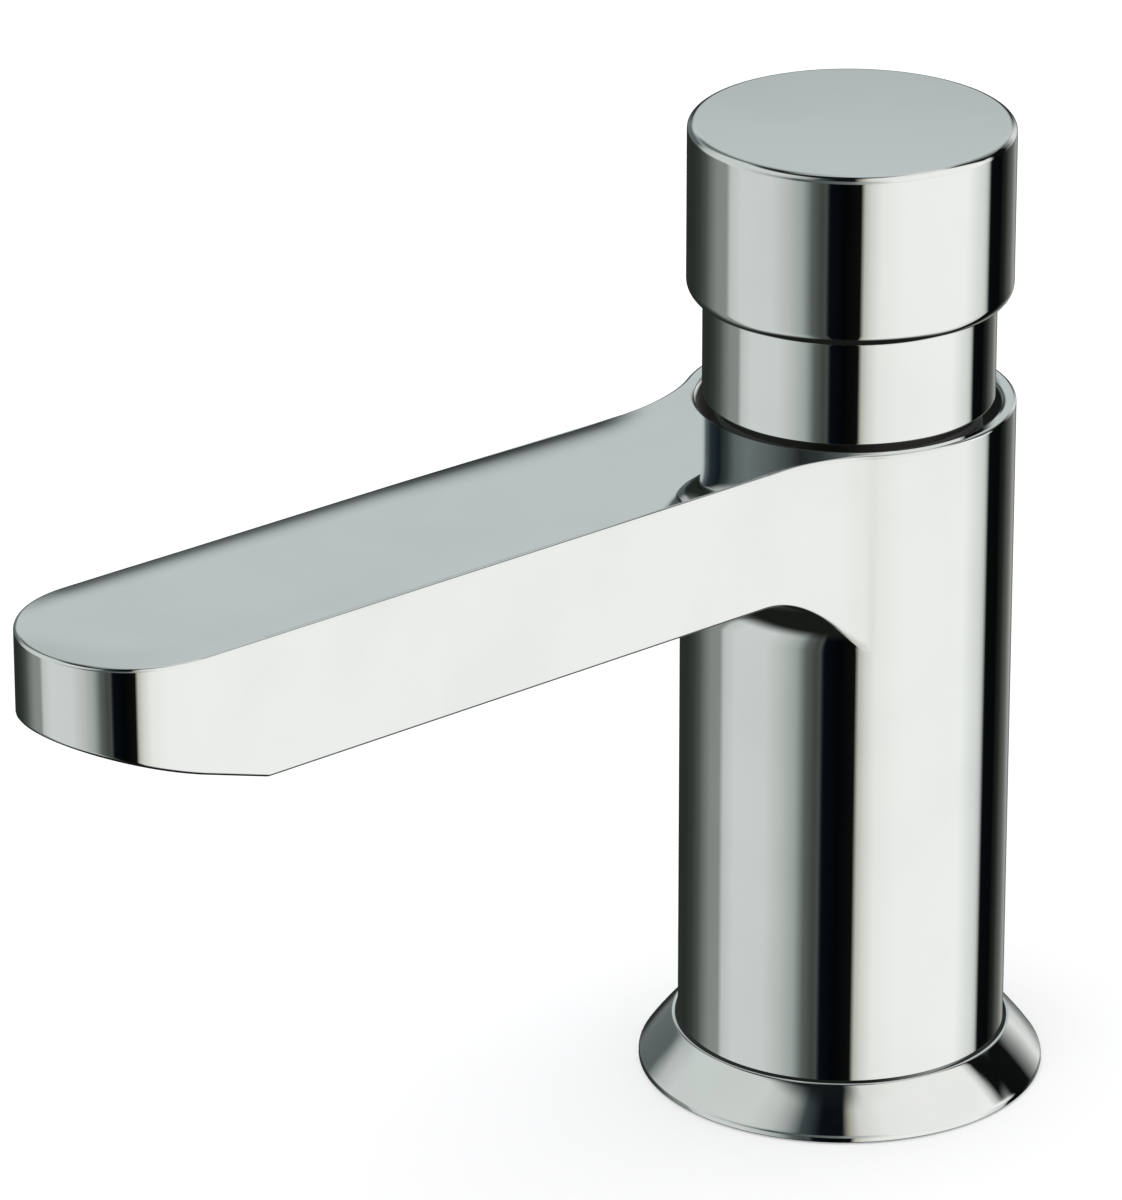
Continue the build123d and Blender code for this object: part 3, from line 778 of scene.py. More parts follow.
@dataclass(frozen=True)
class Workshop:
    """What every sub-assembly is handed: the finishes and the frame's nodes."""

    finishes: Finishes
    nodes: dict[str, bpy.types.Object]

    def fit(
        self,
        piece: bpy.types.Object,
        body: Body,
        slot: Slot,
        stands_for: Sequence[str] = (),
        mirrored: bool = False,
    ) -> bpy.types.Object:
        """Dresses a piece and lets it ride on its body.

        Args:
            piece: the piece.
            body: what it moves with.
            slot: its finish.
            stands_for: the frame's nodes that it replaces.
            mirrored: whether the polished pieces near it show its mirror image.

        Returns:
            The piece.
        """
        self.finishes.dress(piece, slot)
        piece.visible_glossy = mirrored
        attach(piece, body.value)
        if stands_for:
            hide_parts(*stands_for)
        log.info("%s: %d faces on %s", piece.name, len(piece.data.polygons), body.value)
        return piece

    def keep(self, name: str, slot: Slot) -> None:
        """Dresses a node of the frame that stays as it is.

        Args:
            name: the node.
            slot: its finish.
        """
        node = self.nodes[name]
        self.finishes.dress(node, slot)
        # Hidden brass pieces get the near-black painted shade, because they are seen only in the
        # shade inside the casting.
        if slot is Slot.BRASS:
            node.material_slots[0].material = self.finishes.brass_painted_shade
        node.visible_glossy = False
        log.info("%s: kept from the frame", name)


# The tap's pieces


@dataclass
class BodyCasting:
    """The column and spout in one casting. Sizes are in millimetres and angles in radians."""

    shop: Workshop
    radius: float = 22.5
    rim_height: float = 98.2
    seat_height: float = 5.6
    foot_bevel: float = 1.2
    reach: float = 135.5
    half_width: float = 14.9
    depth: float = 19.1
    flare_radius: float = 24.0
    arch_radius: float = 9.0
    outlet_start: float = 110.8
    outlet_angle: float = radians(17.6)
    arch_stations: tuple[float, ...] = (30.1, 30.6, 31.1)
    flange_bore: float = 15.8
    flange_floor: float = 0.8
    shank_bore: float = 10.53
    shank_top: float = 17.4
    inlet_bore: float = 8.5
    inlet_top: float = 26.0
    cage_bore: float = 11.0
    cage_top: float = 38.0
    chamber_bore: float = 14.5
    chamber_top: float = 86.8
    head_bore: float = 15.5
    head_top: float = 96.0
    collar_radius: float = 18.0
    well_floor: float = 90.4
    button_bore: float = 20.45
    top_round: float = 0.5
    rim_angle: float = 1.0
    lower_round: float = 0.6
    lower_angle: float = 0.12
    mouth_round: float = 0.8
    mouth_steps: int = 5
    # How far in from the column's wall and down from the rim the near-black painted shade of the
    # bores starts.
    painted_shade_inset: float = 1.3
    painted_shade_drop: float = 1.4
    buffed_width: float = 10.0
    buffed_slope: float = radians(7.5)
    buffed_lift: float = 0.4
    buffed_from_left: float = 22.5
    buffed_from_right: float = 31.0
    buffed_ramp: float = 12.0
    crown_from: float = 32.0
    crown_ramp: float = 40.0
    buffed_step: float = 1.3
    buffed_first_row: int = 16
    socket_radius: float = 10.75
    socket_depth: float = 8.0
    socket_play: float = 0.1
    back_steps: int = 50
    front_steps: int = 23
    flare_steps: int = 18
    nose_steps: int = 40

    @property
    def underside(self) -> float:
        """The height of the spout's flat underside."""
        return self.rim_height - self.depth

    @property
    def arch_foot(self) -> float:
        """The height at which the arch runs into the column."""
        return self.underside - self.arch_radius

    @property
    def nose_y(self) -> float:
        """Where the spout's sides end and its round nose starts."""
        return self.half_width - self.reach

    @property
    def flare_x(self) -> float:
        """How far aside the arcs that join the column to the spout have their centres."""
        return self.half_width + self.flare_radius

    @property
    def flare_y(self) -> float:
        """How far out those centres lie."""
        return -sqrt((self.radius + self.flare_radius) ** 2 - self.flare_x**2)

    @property
    def inward(self) -> Vector:
        """The direction into the outlet."""
        return Vector((0, sin(self.outlet_angle), cos(self.outlet_angle)))

    @property
    def outlet_centre(self) -> Vector:
        """The middle of the outlet face."""
        run = (self.reach - self.outlet_start) / 2
        rise = run * tan(self.outlet_angle)
        return Vector((0, -(self.outlet_start + self.reach) / 2, self.underside + rise))

    def lower_height(self, place: Vector) -> float:
        """Gives the height of the casting's underside.

        Args:
            place: a point of the plan.

        Returns:
            The height there.
        """
        out = hypot(place.x, place.y)
        arch = self.underside
        far = self.radius + self.arch_radius - out
        if far > 0:
            arch = self.arch_foot + sqrt(max(self.arch_radius**2 - far**2, 0.0))
        nose = self.underside + (-self.outlet_start - place.y) * tan(self.outlet_angle)
        return max(arch, nose) if place.y < -self.outlet_start else arch

    def bores(self) -> list[tuple[float, float]]:
        """Gives the inside from the foot up to the rim as (radius, height) points."""
        foot = self.seat_height + self.foot_bevel
        mouth = self.mouth_round
        turns = [pi / 2 * step / self.mouth_steps for step in range(self.mouth_steps + 1)]
        return [
            (self.radius, foot),
            (self.radius - self.foot_bevel, self.seat_height),
            (self.flange_bore, self.seat_height),
            (self.flange_bore, self.flange_floor),
            (self.shank_bore, self.flange_floor),
            (self.shank_bore, self.shank_top),
            (self.inlet_bore, self.shank_top),
            (self.inlet_bore, self.inlet_top),
            (self.cage_bore, self.inlet_top),
            (self.cage_bore, self.cage_top),
            (self.chamber_bore, self.cage_top),
            (self.chamber_bore, self.chamber_top),
            (self.head_bore, self.chamber_top),
            (self.head_bore, self.head_top),
            (self.collar_radius, self.head_top),
            (self.collar_radius, self.well_floor),
            (self.button_bore, self.well_floor),
            *(
                (
                    self.button_bore + mouth * (1 - cos(turn)),
                    self.rim_height - mouth * (1 - sin(turn)),
                )
                for turn in turns
            ),
        ]

    def edge_distance(self, place: Vector) -> float:
        """Gives how far a point of the flat top lies inside the spout's outline.

        Args:
            place: the point.

        Returns:
            The distance, in millimetres.
        """
        if place.y < self.nose_y:
            return self.half_width - hypot(place.x, place.y - self.nose_y)
        if place.y < self.flare_y:
            return self.half_width - abs(place.x)
        return hypot(abs(place.x) - self.flare_x, place.y - self.flare_y) - self.flare_radius

    def buffed_off(self, place: Vector) -> float:
        """Gives how much the buffing wheel took off near the edge of the spout's top.

        Args:
            place: a point of the top.

        Returns:
            The loss of height.
        """
        if place.y >= 0:
            return 0.0
        out = hypot(place.x, place.y)
        share = min(max(1 - self.edge_distance(place) / self.buffed_width, 0.0), 1.0)
        start = self.buffed_from_right if place.x > 0 else self.buffed_from_left
        edge = self.buffed_slope * self.buffed_width / 3 * share**3
        crown = self.buffed_lift * self.eased((out - self.crown_from) / self.crown_ramp)
        return edge * self.eased((out - start) / self.buffed_ramp) - crown

    @staticmethod
    def eased(share: float) -> float:
        """Rises smoothly from nought to one."""
        share = min(max(share, 0.0), 1.0)
        return share * share * (3 - 2 * share)

    def build(self) -> bpy.types.Object:
        """Builds one half and mirrors it, then rounds the edges and buffs the top.

        Returns:
            The casting.
        """
        draft = Draft()
        mesh = draft.mesh
        # Plan of the left half, from the back of the column to the tip of the nose
        flare_angle = atan2(-self.flare_y, self.flare_x)
        plan = Pen(mesh, Vector((0, self.radius, self.arch_foot)))
        plan.arc(Vector(), UPWARDS, pi / 2 + flare_angle, self.back_steps)
        foot = len(plan.chain) - 1
        plan.arc(Vector((-self.flare_x, self.flare_y, 0)), UPWARDS, -flare_angle, self.flare_steps)
        for out in (*self.arch_stations, self.radius + self.arch_radius):
            side = -sqrt(out**2 - self.half_width**2)
            plan.line_to(Vector((-self.half_width, side, self.arch_foot)))
        arch_end = len(plan.chain) - 1
        plan.line_to(Vector((-self.half_width, -self.outlet_start, self.arch_foot)))
        outlet = len(plan.chain) - 1
        plan.line_to(Vector((-self.half_width, self.nose_y, self.arch_foot)))
        plan.arc(Vector((0, self.nose_y, 0)), UPWARDS, pi / 2, self.nose_steps)
        chain = plan.chain
        chain[-1].co.x = 0.0
        top = draft.pull(chain, lambda place: Vector((place.x, place.y, self.rim_height)))
        for point in chain:
            point.co.z = self.lower_height(point.co)
        # Arch: arcs about the column from the side wall to the middle, bridged in turn
        rows = []
        for point in chain[foot : arch_end + 1]:
            sweep = 1.5 * pi - (atan2(point.co.y, point.co.x) + FULL_TURN)
            row = Pen(mesh, point).arc(Vector(), UPWARDS, sweep, self.front_steps)
            row.chain[-1].co.x = 0.0
            rows.append(row)
        for first, second in zip(rows, rows[1:]):
            bmesh.ops.bridge_loops(mesh, edges=first.edges + second.edges)
        # Flat underside, outlet face and the socket in it
        middle = Pen(mesh, rows[-1].chain[-1])
        middle.line_to(Vector((0, -self.outlet_start, self.underside)))
        cross = Pen(mesh, middle.chain[-1]).close_on(chain[outlet])
        run = draft.edges_along(chain[arch_end : outlet + 1])
        draft.face([*rows[-1].edges, *middle.edges, *cross.edges, *run])
        along = Vector((0, self.inward.z, -self.inward.y))
        lead = Pen(mesh, middle.chain[-1]).line_to(self.outlet_centre + along * self.socket_radius)
        socket = Pen(mesh, lead.chain[-1]).arc(self.outlet_centre, self.inward, pi, self.nose_steps)
        socket.chain[-1].co.x = 0.0
        tip = Pen(mesh, socket.chain[-1]).close_on(chain[-1])
        nose = draft.edges_along(chain[outlet:])
        draft.face([*lead.edges, *socket.edges, *tip.edges, *nose, *cross.edges])
        sunk = draft.pull(socket.chain, lambda place: place + self.inward * self.socket_depth)
        draft.face(draft.edges_along(sunk) + Pen(mesh, sunk[-1]).close_on(sunk[0]).edges)
        # Column below the arch, the foot, and the bores up to the rim
        wall = chain[:foot] + rows[0].chain
        for radius, height in self.bores():
            wall = draft.pull_ring(wall, radius, height)
        # Flat top round the button bore
        rim = draft.edges_along(wall) + draft.edges_along(top)
        back = Pen(mesh, wall[0]).close_on(top[0])
        front = Pen(mesh, wall[-1]).close_on(top[-1])
        draft.face([*rim, *back.edges, *front.edges])
        bmesh.ops.mirror(
            mesh,
            geom=mesh.verts[:] + mesh.edges[:] + mesh.faces[:],
            matrix=Matrix.Identity(4),
            merge_dist=Draft.join_distance,
            axis="X",
        )
        draft.tidy()
        self._round(draft)
        self._buff(draft)
        # Faces in the bores and the outlet's socket get the near-black painted shade.
        draft.paint_inside_shade(self._inside)
        return draft.make("body_casting")

    def _inside(self, place: Vector) -> bool:
        """Says whether a face lies in the bores or in the outlet's socket, where the near-black
        painted shade goes.
        """
        out = hypot(place.x, place.y)
        if out < self.radius - self.painted_shade_inset and place.z < self.rim_height - self.painted_shade_drop:
            return True
        away = place - self.outlet_centre
        deep = away.dot(self.inward)
        aside = (away - self.inward * deep).length
        play = self.socket_play
        return play < deep < self.socket_depth + play and aside < self.socket_radius + play / 10

    def _round(self, draft: Draft) -> None:
        """Rounds the rim of the flat top and the spout's lower edges.

        Args:
            draft: the whole casting.
        """

        def on_rim(edge: bmesh.types.BMEdge) -> bool:
            """Says whether an edge lies on the outline of the flat top."""
            ends = [v.co for v in edge.verts]
            level = all(abs(p.z - self.rim_height) < draft.touch for p in ends)
            outer = min(hypot(p.x, p.y) for p in ends) > self.radius - 0.01
            return level and outer and edge.calc_face_angle(0.0) > self.rim_angle

        def on_underside(edge: bmesh.types.BMEdge) -> bool:
            """Says whether an edge lies where the spout's sides meet its underside."""
            ends = [v.co for v in edge.verts]
            beyond = all(hypot(p.x, p.y) > self.radius + 0.02 for p in ends)
            under = all(abs(p.z - self.lower_height(p)) < 1e-3 for p in ends)
            return beyond and under and edge.calc_face_angle(0.0) > self.lower_angle

        draft.bevel([edge for edge in draft.mesh.edges if on_rim(edge)], self.top_round, 5)
        draft.bevel([edge for edge in draft.mesh.edges if on_underside(edge)], self.lower_round, 3)

    def _buff(self, draft: Draft) -> None:
        """Cuts the flat top into a fine net and lowers it towards the spout's edges.

        Args:
            draft: the whole casting.
        """
        level = self.rim_height - 1e-3
        across = int(self.half_width / self.buffed_step)
        along = int(self.reach / self.buffed_step)
        cuts = [((step, 0, 0), (1, 0, 0)) for step in range(-across, across + 1)]
        cuts += [((0, -step, 0), (0, 1, 0)) for step in range(self.buffed_first_row, along + 1)]
        for place, normal in cuts:
            top = [f for f in draft.mesh.faces if all(v.co.z > level for v in f.verts)]
            parts = {p for f in top for p in (*f.verts, *f.edges)}
            bmesh.ops.bisect_plane(
                draft.mesh,
                geom=[*parts, *top],
                dist=draft.touch,
                plane_co=[part * self.buffed_step for part in place],
                plane_no=normal,
            )
        # The top's outline stays crisp, so that its shading doesn't run into the round beside it
        for edge in draft.mesh.edges:
            flat = [all(v.co.z > level for v in face.verts) for face in edge.link_faces]
            edge.seam = any(flat) and not all(flat)
        for point in draft.mesh.verts:
            if point.co.z > self.rim_height - self.top_round + 1e-3:
                point.co.z -= self.buffed_off(point.co)

    def dress(self) -> None:
        """Builds the casting and fits it."""
        self.shop.fit(self.build(), Body.TAP, Slot.CHROME, ["tap_body"])


@dataclass
class Turning:
    """A piece turned about the tap's axis."""

    name: str
    corners: Sequence[Corner]
    steps: int = 128

    def build(self, inside_painted_shade: Callable[[Vector], bool] | None = None) -> bpy.types.Object:
        """Turns the section.

        Args:
            inside_painted_shade: says which faces are unplated and get the near-black painted
                shade.

        Returns:
            The piece.
        """
        draft = Draft()
        draft.section(self.corners)
        draft.turn(self.steps)
        if inside_painted_shade is not None:
            draft.paint_inside_shade(inside_painted_shade)
        return draft.make(self.name)


@dataclass
class PushButton:
    """The wide cap and the sleeve under it."""

    shop: Workshop
    cap_radius: float = 21.9
    cap_bottom: float = 112.9
    cap_top: float = 137.0
    top_round: float = 1.1
    bottom_round: float = 2.0
    bore_radius: float = 19.75
    ledge_radius: float = 18.15
    ledge_height: float = 128.2
    inner_top: float = 134.4
    skirt_radius: float = 19.7
    skirt_bore: float = 18.3
    skirt_bottom: float = 98.55
    skirt_top: float = 124.2
    skirt_round: float = 0.35

    def dress(self) -> None:
        """Builds both pieces and fits them."""
        cap = Turning(
            "button_cap",
            [
                Corner(0, self.cap_top),
                Corner(self.cap_radius, self.cap_top, self.top_round, 6),
                Corner(self.cap_radius, self.cap_bottom, self.bottom_round, 8),
                Corner(self.bore_radius, self.cap_bottom),
                Corner(self.bore_radius, self.ledge_height),
                Corner(self.ledge_radius, self.ledge_height),
                Corner(self.ledge_radius, self.inner_top),
                Corner(0, self.inner_top),
            ],
        )
        skirt = Turning(
            "button_sleeve",
            [
                Corner(self.skirt_bore, self.skirt_bottom),
                Corner(self.skirt_radius, self.skirt_bottom, self.skirt_round, 3),
                Corner(self.skirt_radius, self.skirt_top),
                Corner(self.skirt_bore, self.skirt_top),
            ],
        )
        for piece, node in ((cap, "push_cap"), (skirt, "button_skirt")):
            self.shop.fit(piece.build(), Body.BUTTON, Slot.CHROME, [node], mirrored=True)


@dataclass
class BaseFlange:
    """The domed ring that the column stands in, and the seal under it."""

    shop: Workshop
    radius: float = 27.9
    rim: float = 0.9
    height: float = 6.6
    lip_inner: float = 22.9
    lip_outer: float = 23.3
    bulge: float = 0.15
    seat_height: float = 5.6
    bore: float = 16.0
    groove_inner: float = 18.0
    groove_outer: float = 24.2
    groove_top: float = 1.6
    seal_play: float = 0.1
    slope_steps: int = 12

    def slope(self) -> list[Corner]:
        """Gives the domed slope's points, between the lip and the rim."""
        start = Vector((self.lip_outer, self.height))
        end = Vector((self.radius, self.rim))
        chord = end - start
        radius = chord.length**2 / (8 * self.bulge) + self.bulge / 2
        half_angle = asin(chord.length / 2 / radius)
        outward = Vector((-chord.y, chord.x)).normalized()
        centre = (start + end) / 2 - outward * (radius - self.bulge)
        points = []
        for step in range(1, self.slope_steps):
            angle = half_angle * (1 - 2 * step / self.slope_steps)
            along = chord.normalized() * -sin(angle) * radius
            point = centre + along + outward * cos(angle) * radius
            points.append(Corner(point.x, point.y))
        return points

    def in_seat(self, place: Vector) -> bool:
        """Says whether a face lies in the column's seat or in the seal's groove, where the
        near-black painted shade goes.
        """
        out = hypot(place.x, place.y)
        return out < self.lip_inner + 0.01 and place.z < self.height - 0.25

    def dress(self) -> None:
        """Builds the flange and its seal and fits them."""
        flange = Turning(
            "base_ring",
            [
                Corner(self.bore, 0),
                Corner(self.bore, self.seat_height),
                Corner(self.lip_inner, self.seat_height),
                Corner(self.lip_inner, self.height, 0.2, 4),
                Corner(self.lip_outer, self.height, 0.2, 4),
                *self.slope(),
                Corner(self.radius, self.rim, 0.25, 4),
                Corner(self.radius, 0, 0.2, 3),
                Corner(self.groove_outer, 0),
                Corner(self.groove_outer, self.groove_top),
                Corner(self.groove_inner, self.groove_top),
                Corner(self.groove_inner, 0),
            ],
        )
        inner = self.groove_inner + self.seal_play
        outer = self.groove_outer - self.seal_play
        seal = Turning(
            "base_seal_ring",
            [
                Corner(inner, 0.0, 0.3, 3),
                Corner(outer, 0.0, 0.3, 3),
                Corner(outer, self.groove_top),
                Corner(inner, self.groove_top),
            ],
        )
        # Faces in the seat and the seal's groove get the near-black painted shade.
        self.shop.fit(flange.build(self.in_seat), Body.TAP, Slot.CHROME, ["base_flange"])
        self.shop.fit(seal.build(), Body.TAP, Slot.RUBBER, ["base_seal"])


@dataclass
class Shank:
    """The threaded tube below the deck, and what clamps the deck on it."""

    shop: Workshop
    bore: float = 6.8
    root: float = 9.3
    crest: float = 10.4775
    pitch: float = 1.814
    relief: float = 9.3775
    low: float = -52.0
    high: float = 15.0
    relief_low: float = -40.0
    relief_high: float = -38.0
    tube_steps: int = 96
    turn_steps: int = 48
    ridge_half: float = 0.47
    ridge_flat: float = 0.06
    crest_drop: float = 0.08
    run_out: float = 0.4
    nut_flats: float = 27.0
    nut_low: float = -31.5
    nut_high: float = -24.5
    nut_bore: float = 10.5275
    nut_face: float = 14.59
    nut_mouth: float = 0.6
    nut_mouth_depth: float = 0.5
    nut_chamfer: float = radians(30.0)
    nut_steps: int = 96
    clamp_bore: float = 10.98
    washer_radius: float = 21.0
    washer_high: float = -23.0
    gasket_radius: float = 22.0
    gasket_high: float = -20.0

    def thread(self, draft: Draft, low: float, high: float) -> None:
        """Winds one ridge round the tube, running out at both ends.

        Args:
            draft: the mesh of the tube.
            low: the height that the ridge starts at.
            high: the height that it ends at.
        """
        root = self.root - 0.1
        half = self.pitch * self.ridge_half
        flat = self.pitch * self.ridge_flat
        first = low + half
        turns = (high - half - first) / self.pitch
        mesh = bmesh.new()
        pen = Pen(mesh, Vector((root, 0, first - half)))
        for radius, rise in (
            (self.crest - self.crest_drop, -flat * 1.6),
            (self.crest, -flat * 0.5),
            (self.crest, flat * 0.5),
            (self.crest - self.crest_drop, flat * 1.6),
            (root, half),
        ):
            pen.line_to(Vector((radius, 0, first + rise)))
        pen.close_on(pen.chain[0])
        pen.wind(turns * self.pitch, turns, int(turns * self.turn_steps))
        for point in mesh.verts:
            part = atan2(point.co.y, point.co.x) / FULL_TURN
            wound = round((point.co.z - first) / self.pitch - part) + part
            fade = min(max(min(wound, turns - wound) / self.run_out, 0.02), 1.0)
            out = hypot(point.co.x, point.co.y)
            point.co = at_radius(point.co, root + (out - root) * fade, point.co.z)
        bmesh.ops.recalc_face_normals(mesh, faces=mesh.faces[:])
        ridge = bpy.data.meshes.new("ridge")
        mesh.to_mesh(ridge)
        mesh.free()
        draft.mesh.from_mesh(ridge)
        bpy.data.meshes.remove(ridge)

    def build_tube(self) -> bpy.types.Object:
        """Turns the tube and winds its threads on.

        Returns:
            The tube.
        """
        draft = Draft()
        draft.section(
            [
                Corner(self.bore, self.low, 0.3, 3),
                Corner(self.root, self.low, 0.4, 3),
                Corner(self.root, self.relief_low - 0.1),
                Corner(self.relief, self.relief_low),
                Corner(self.relief, self.relief_high),
                Corner(self.root, self.relief_high + 0.1),
                Corner(self.root, self.high, 0.4, 3),
                Corner(self.bore, self.high, 0.3, 3),
            ]
        )
        draft.turn(self.tube_steps)
        draft.tidy()
        self.thread(draft, self.low + 0.2, self.relief_low + 0.2)
        self.thread(draft, self.relief_high - 0.2, self.high - 0.4)
        return draft.make("threaded_tube")

    def nut_outline(self, place: Vector) -> float:
        """Gives the hexagon's radius in the direction of a point."""
        side = pi / 3
        angle = atan2(place.y, place.x) % side
        return self.nut_flats / 2 / cos(angle - side / 2)

    def build_nut(self) -> bpy.types.Object:
        """Pulls the nut's rings out of its bore, with corners chamfered as on turned bar.

        Returns:
            The nut.
        """
        draft = Draft()
        slope = tan(self.nut_chamfer)
        mouth = self.nut_bore + self.nut_mouth
        pen = Pen(draft.mesh, Vector((mouth, 0, self.nut_low)))
        ring = pen.arc(Vector(), UPWARDS, FULL_TURN, self.nut_steps).chain

        def to(radius: float | None, level: float, sign: int) -> Callable[[Vector], Vector]:
            """Gives the move to a plain ring, or to the hexagon where no radius is given.

            Args:
                radius: the ring's radius.
                level: the height of the nut's face.
                sign: which way the chamfer goes from there.

            Returns:
                The move.
            """

            def move(place: Vector) -> Vector:
                """Moves one point."""
                outline = self.nut_outline(place)
                limit = outline if radius is None else min(radius, outline)
                drop = max(limit - self.nut_face, 0.0) * slope * sign
                return at_radius(place, limit, level + drop)

            return move

        for radius, level, sign in (
            (self.nut_face, self.nut_low, 1),
            (None, self.nut_low, 1),
            (None, self.nut_high, -1),
            (self.nut_face, self.nut_high, -1),
            (mouth, self.nut_high, -1),
            (self.nut_bore, self.nut_high - self.nut_mouth_depth, -1),
            (self.nut_bore, self.nut_low + self.nut_mouth_depth, 1),
            (mouth, self.nut_low, 1),
        ):
            ring = draft.pull(ring, to(radius, level, sign))
        return draft.make("hexagon_nut")

    def dress(self) -> None:
        """Builds the tube, the nut, the washer and the gasket and fits them."""
        washer = Turning(
            "wide_washer",
            [
                Corner(self.clamp_bore, self.nut_high, 0.2, 3),
                Corner(self.washer_radius, self.nut_high, 0.35, 4),
                Corner(self.washer_radius, self.washer_high, 0.15, 3),
                Corner(self.clamp_bore, self.washer_high),
            ],
        )
        gasket = Turning(
            "rubber_gasket",
            [
                Corner(self.clamp_bore, self.washer_high, 0.3, 3),
                Corner(self.gasket_radius, self.washer_high, 0.5, 4),
                Corner(self.gasket_radius, self.gasket_high, 0.5, 4),
                Corner(self.clamp_bore, self.gasket_high, 0.3, 3),
            ],
        )
        self.shop.fit(self.build_tube(), Body.TAP, Slot.BRASS, ["inlet_shank"])
        self.shop.fit(self.build_nut(), Body.TAP, Slot.BRASS, ["backnut"])
        self.shop.fit(washer.build(), Body.TAP, Slot.STEEL, ["clamp_washer"])
        self.shop.fit(gasket.build(), Body.TAP, Slot.RUBBER, ["deck_gasket"])


@dataclass
class Aerator:
    """The keyed ring in the spout's outlet and the jet disc that it holds."""

    shop: Workshop
    casting: BodyCasting
    radius: float = 10.7
    recess: float = 0.5
    depth: float = 7.0
    insert_radius: float = 9.0
    lip: float = 0.7
    lip_end: float = 1.6
    key_reach: float = 9.5
    key_depth: float = 0.7
    key_half_angle: float = radians(8.2)
    key_count: int = 4
    ring_steps: int = 288
    insert_play: float = 0.05
    insert_start: float = 1.6
    insert_end: float = 6.4
    insert_steps: int = 96
    jet_pitch: float = 3.0
    jet_radius: float = 1.0
    jet_round: float = 0.16
    jet_steps: int = 20
    jet_rings: int = 2

    @property
    def place(self) -> Matrix:
        """The place of the outlet: its middle, with Z going into the spout."""
        inward = self.casting.inward
        aside = Vector((1, 0, 0))
        turned = Matrix((aside, inward.cross(aside), inward)).transposed().to_4x4()
        return Matrix.Translation(self.casting.outlet_centre) @ turned

    def build_ring(self) -> bpy.types.Object:
        """Turns the ring and cuts its four key slots.

        Returns:
            The ring.
        """
        draft = Draft()
        mouth = self.insert_radius - self.lip
        inner = self.insert_radius + self.insert_play
        draft.section(
            [
                Corner(mouth, self.lip_end),
                Corner(mouth, self.recess + self.key_depth),
                Corner(mouth, self.recess),
                Corner(self.key_reach, self.recess),
                Corner(self.radius, self.recess, 0.35, 4),
                Corner(self.radius, self.depth),
                Corner(inner, self.depth),
                Corner(inner, self.lip_end),
            ]
        )
        draft.turn(self.ring_steps)
        draft.tidy()
        apart = FULL_TURN / self.key_count
        for point in draft.mesh.verts:
            out = hypot(point.co.x, point.co.y)
            angle = abs((atan2(point.co.y, point.co.x) + apart / 2) % apart - apart / 2)
            on_edge = abs(out - mouth) < 0.01 and abs(point.co.z - self.recess) < 0.01
            if on_edge and angle < self.key_half_angle:
                point.co = at_radius(point.co, self.key_reach, self.recess + self.key_depth)
        return draft.make("keyed_ring", self.place)

    def build_jets(self) -> bpy.types.Object:
        """Cuts the jet disc out of circles and gives it its thickness.

        Returns:
            The disc.
        """
        draft = Draft()
        mesh = draft.mesh
        start = self.insert_start
        reach = range(-self.jet_rings, self.jet_rings + 1)
        spots = [
            Vector((across + along / 2, along * sqrt(3) / 2, 0))
            for across in reach
            for along in reach
            if abs(across + along) <= self.jet_rings
        ]
        bmesh.ops.create_circle(mesh, segments=self.insert_steps, radius=self.insert_radius)
        for spot in spots:
            centre = Matrix.Translation(spot * self.jet_pitch)
            bmesh.ops.create_circle(
                mesh, segments=self.jet_steps, radius=self.jet_radius, matrix=centre
            )
        bmesh.ops.translate(mesh, verts=mesh.verts[:], vec=(0, 0, start))
        bmesh.ops.triangle_fill(mesh, edges=mesh.edges[:], use_beauty=True, normal=(0, 0, -1))
        front = list(mesh.faces)
        pulled = bmesh.ops.extrude_face_region(mesh, geom=front, use_keep_orig=True)["geom"]
        moved = [p for p in pulled if isinstance(p, bmesh.types.BMVert)]
        bmesh.ops.translate(mesh, verts=moved, vec=(0, 0, self.insert_end - start))
        draft.tidy()
        sharp = [edge for edge in mesh.edges if edge.calc_face_angle(0.0) > 1.2]
        rims = [e for e in sharp if all(abs(v.co.z - start) < 0.01 for v in e.verts)]
        draft.bevel(rims, self.jet_round, 2)
        return draft.make("jet_disc", self.place)

    def dress(self) -> None:
        """Builds both pieces and fits them."""
        self.shop.fit(self.build_ring(), Body.TAP, Slot.CHROME, ["aerator_housing"])
        self.shop.fit(self.build_jets(), Body.TAP, Slot.JETS, ["aerator_insert"])


@dataclass
class ReturnSpring:
    """The coil under the piston, which shortens as the button goes down."""

    shop: Workshop
    wire: float = 0.55
    radius: float = 7.0
    turns: int = 5
    low: float = 58.6
    high: float = 73.4
    floor: float = 58.0
    room: float = 16.0
    travel: float = 8.0
    turn_steps: int = 48
    wire_steps: int = 12

    def build(self) -> bpy.types.Object:
        """Winds the wire.

        Returns:
            The spring.
        """
        draft = Draft()
        around = FULL_TURN * (self.wire_steps - 1) / self.wire_steps
        centre = Vector((self.radius, 0, self.low))
        pen = Pen(draft.mesh, centre + Vector((self.wire, 0, 0)))
        pen.arc(centre, Vector((0, 1, 0)), around, self.wire_steps - 1).close_on(pen.chain[0])
        pen.wind(self.high - self.low, self.turns, self.turns * self.turn_steps)
        return draft.make("coil_spring")

    def dress(self) -> None:
        """Winds the spring, fits it, and gives it a mesh of its own."""
        spring = self.shop.fit(self.build(), Body.TAP, Slot.STEEL, ["return_spring"])
        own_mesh(spring)


@dataclass
class Cartridge:
    """The timing cartridge and the other hidden pieces, which the frame already shapes."""

    shop: Workshop

    def dress(self) -> None:
        """Dresses every node of the frame that no new piece stands for."""
        for row in frame["record"]["subparts"]:
            node = self.shop.nodes[row["node"]]
            if not node.hide_render:
                self.shop.keep(node.name, Slot(row["material_slot"]))


# Studio


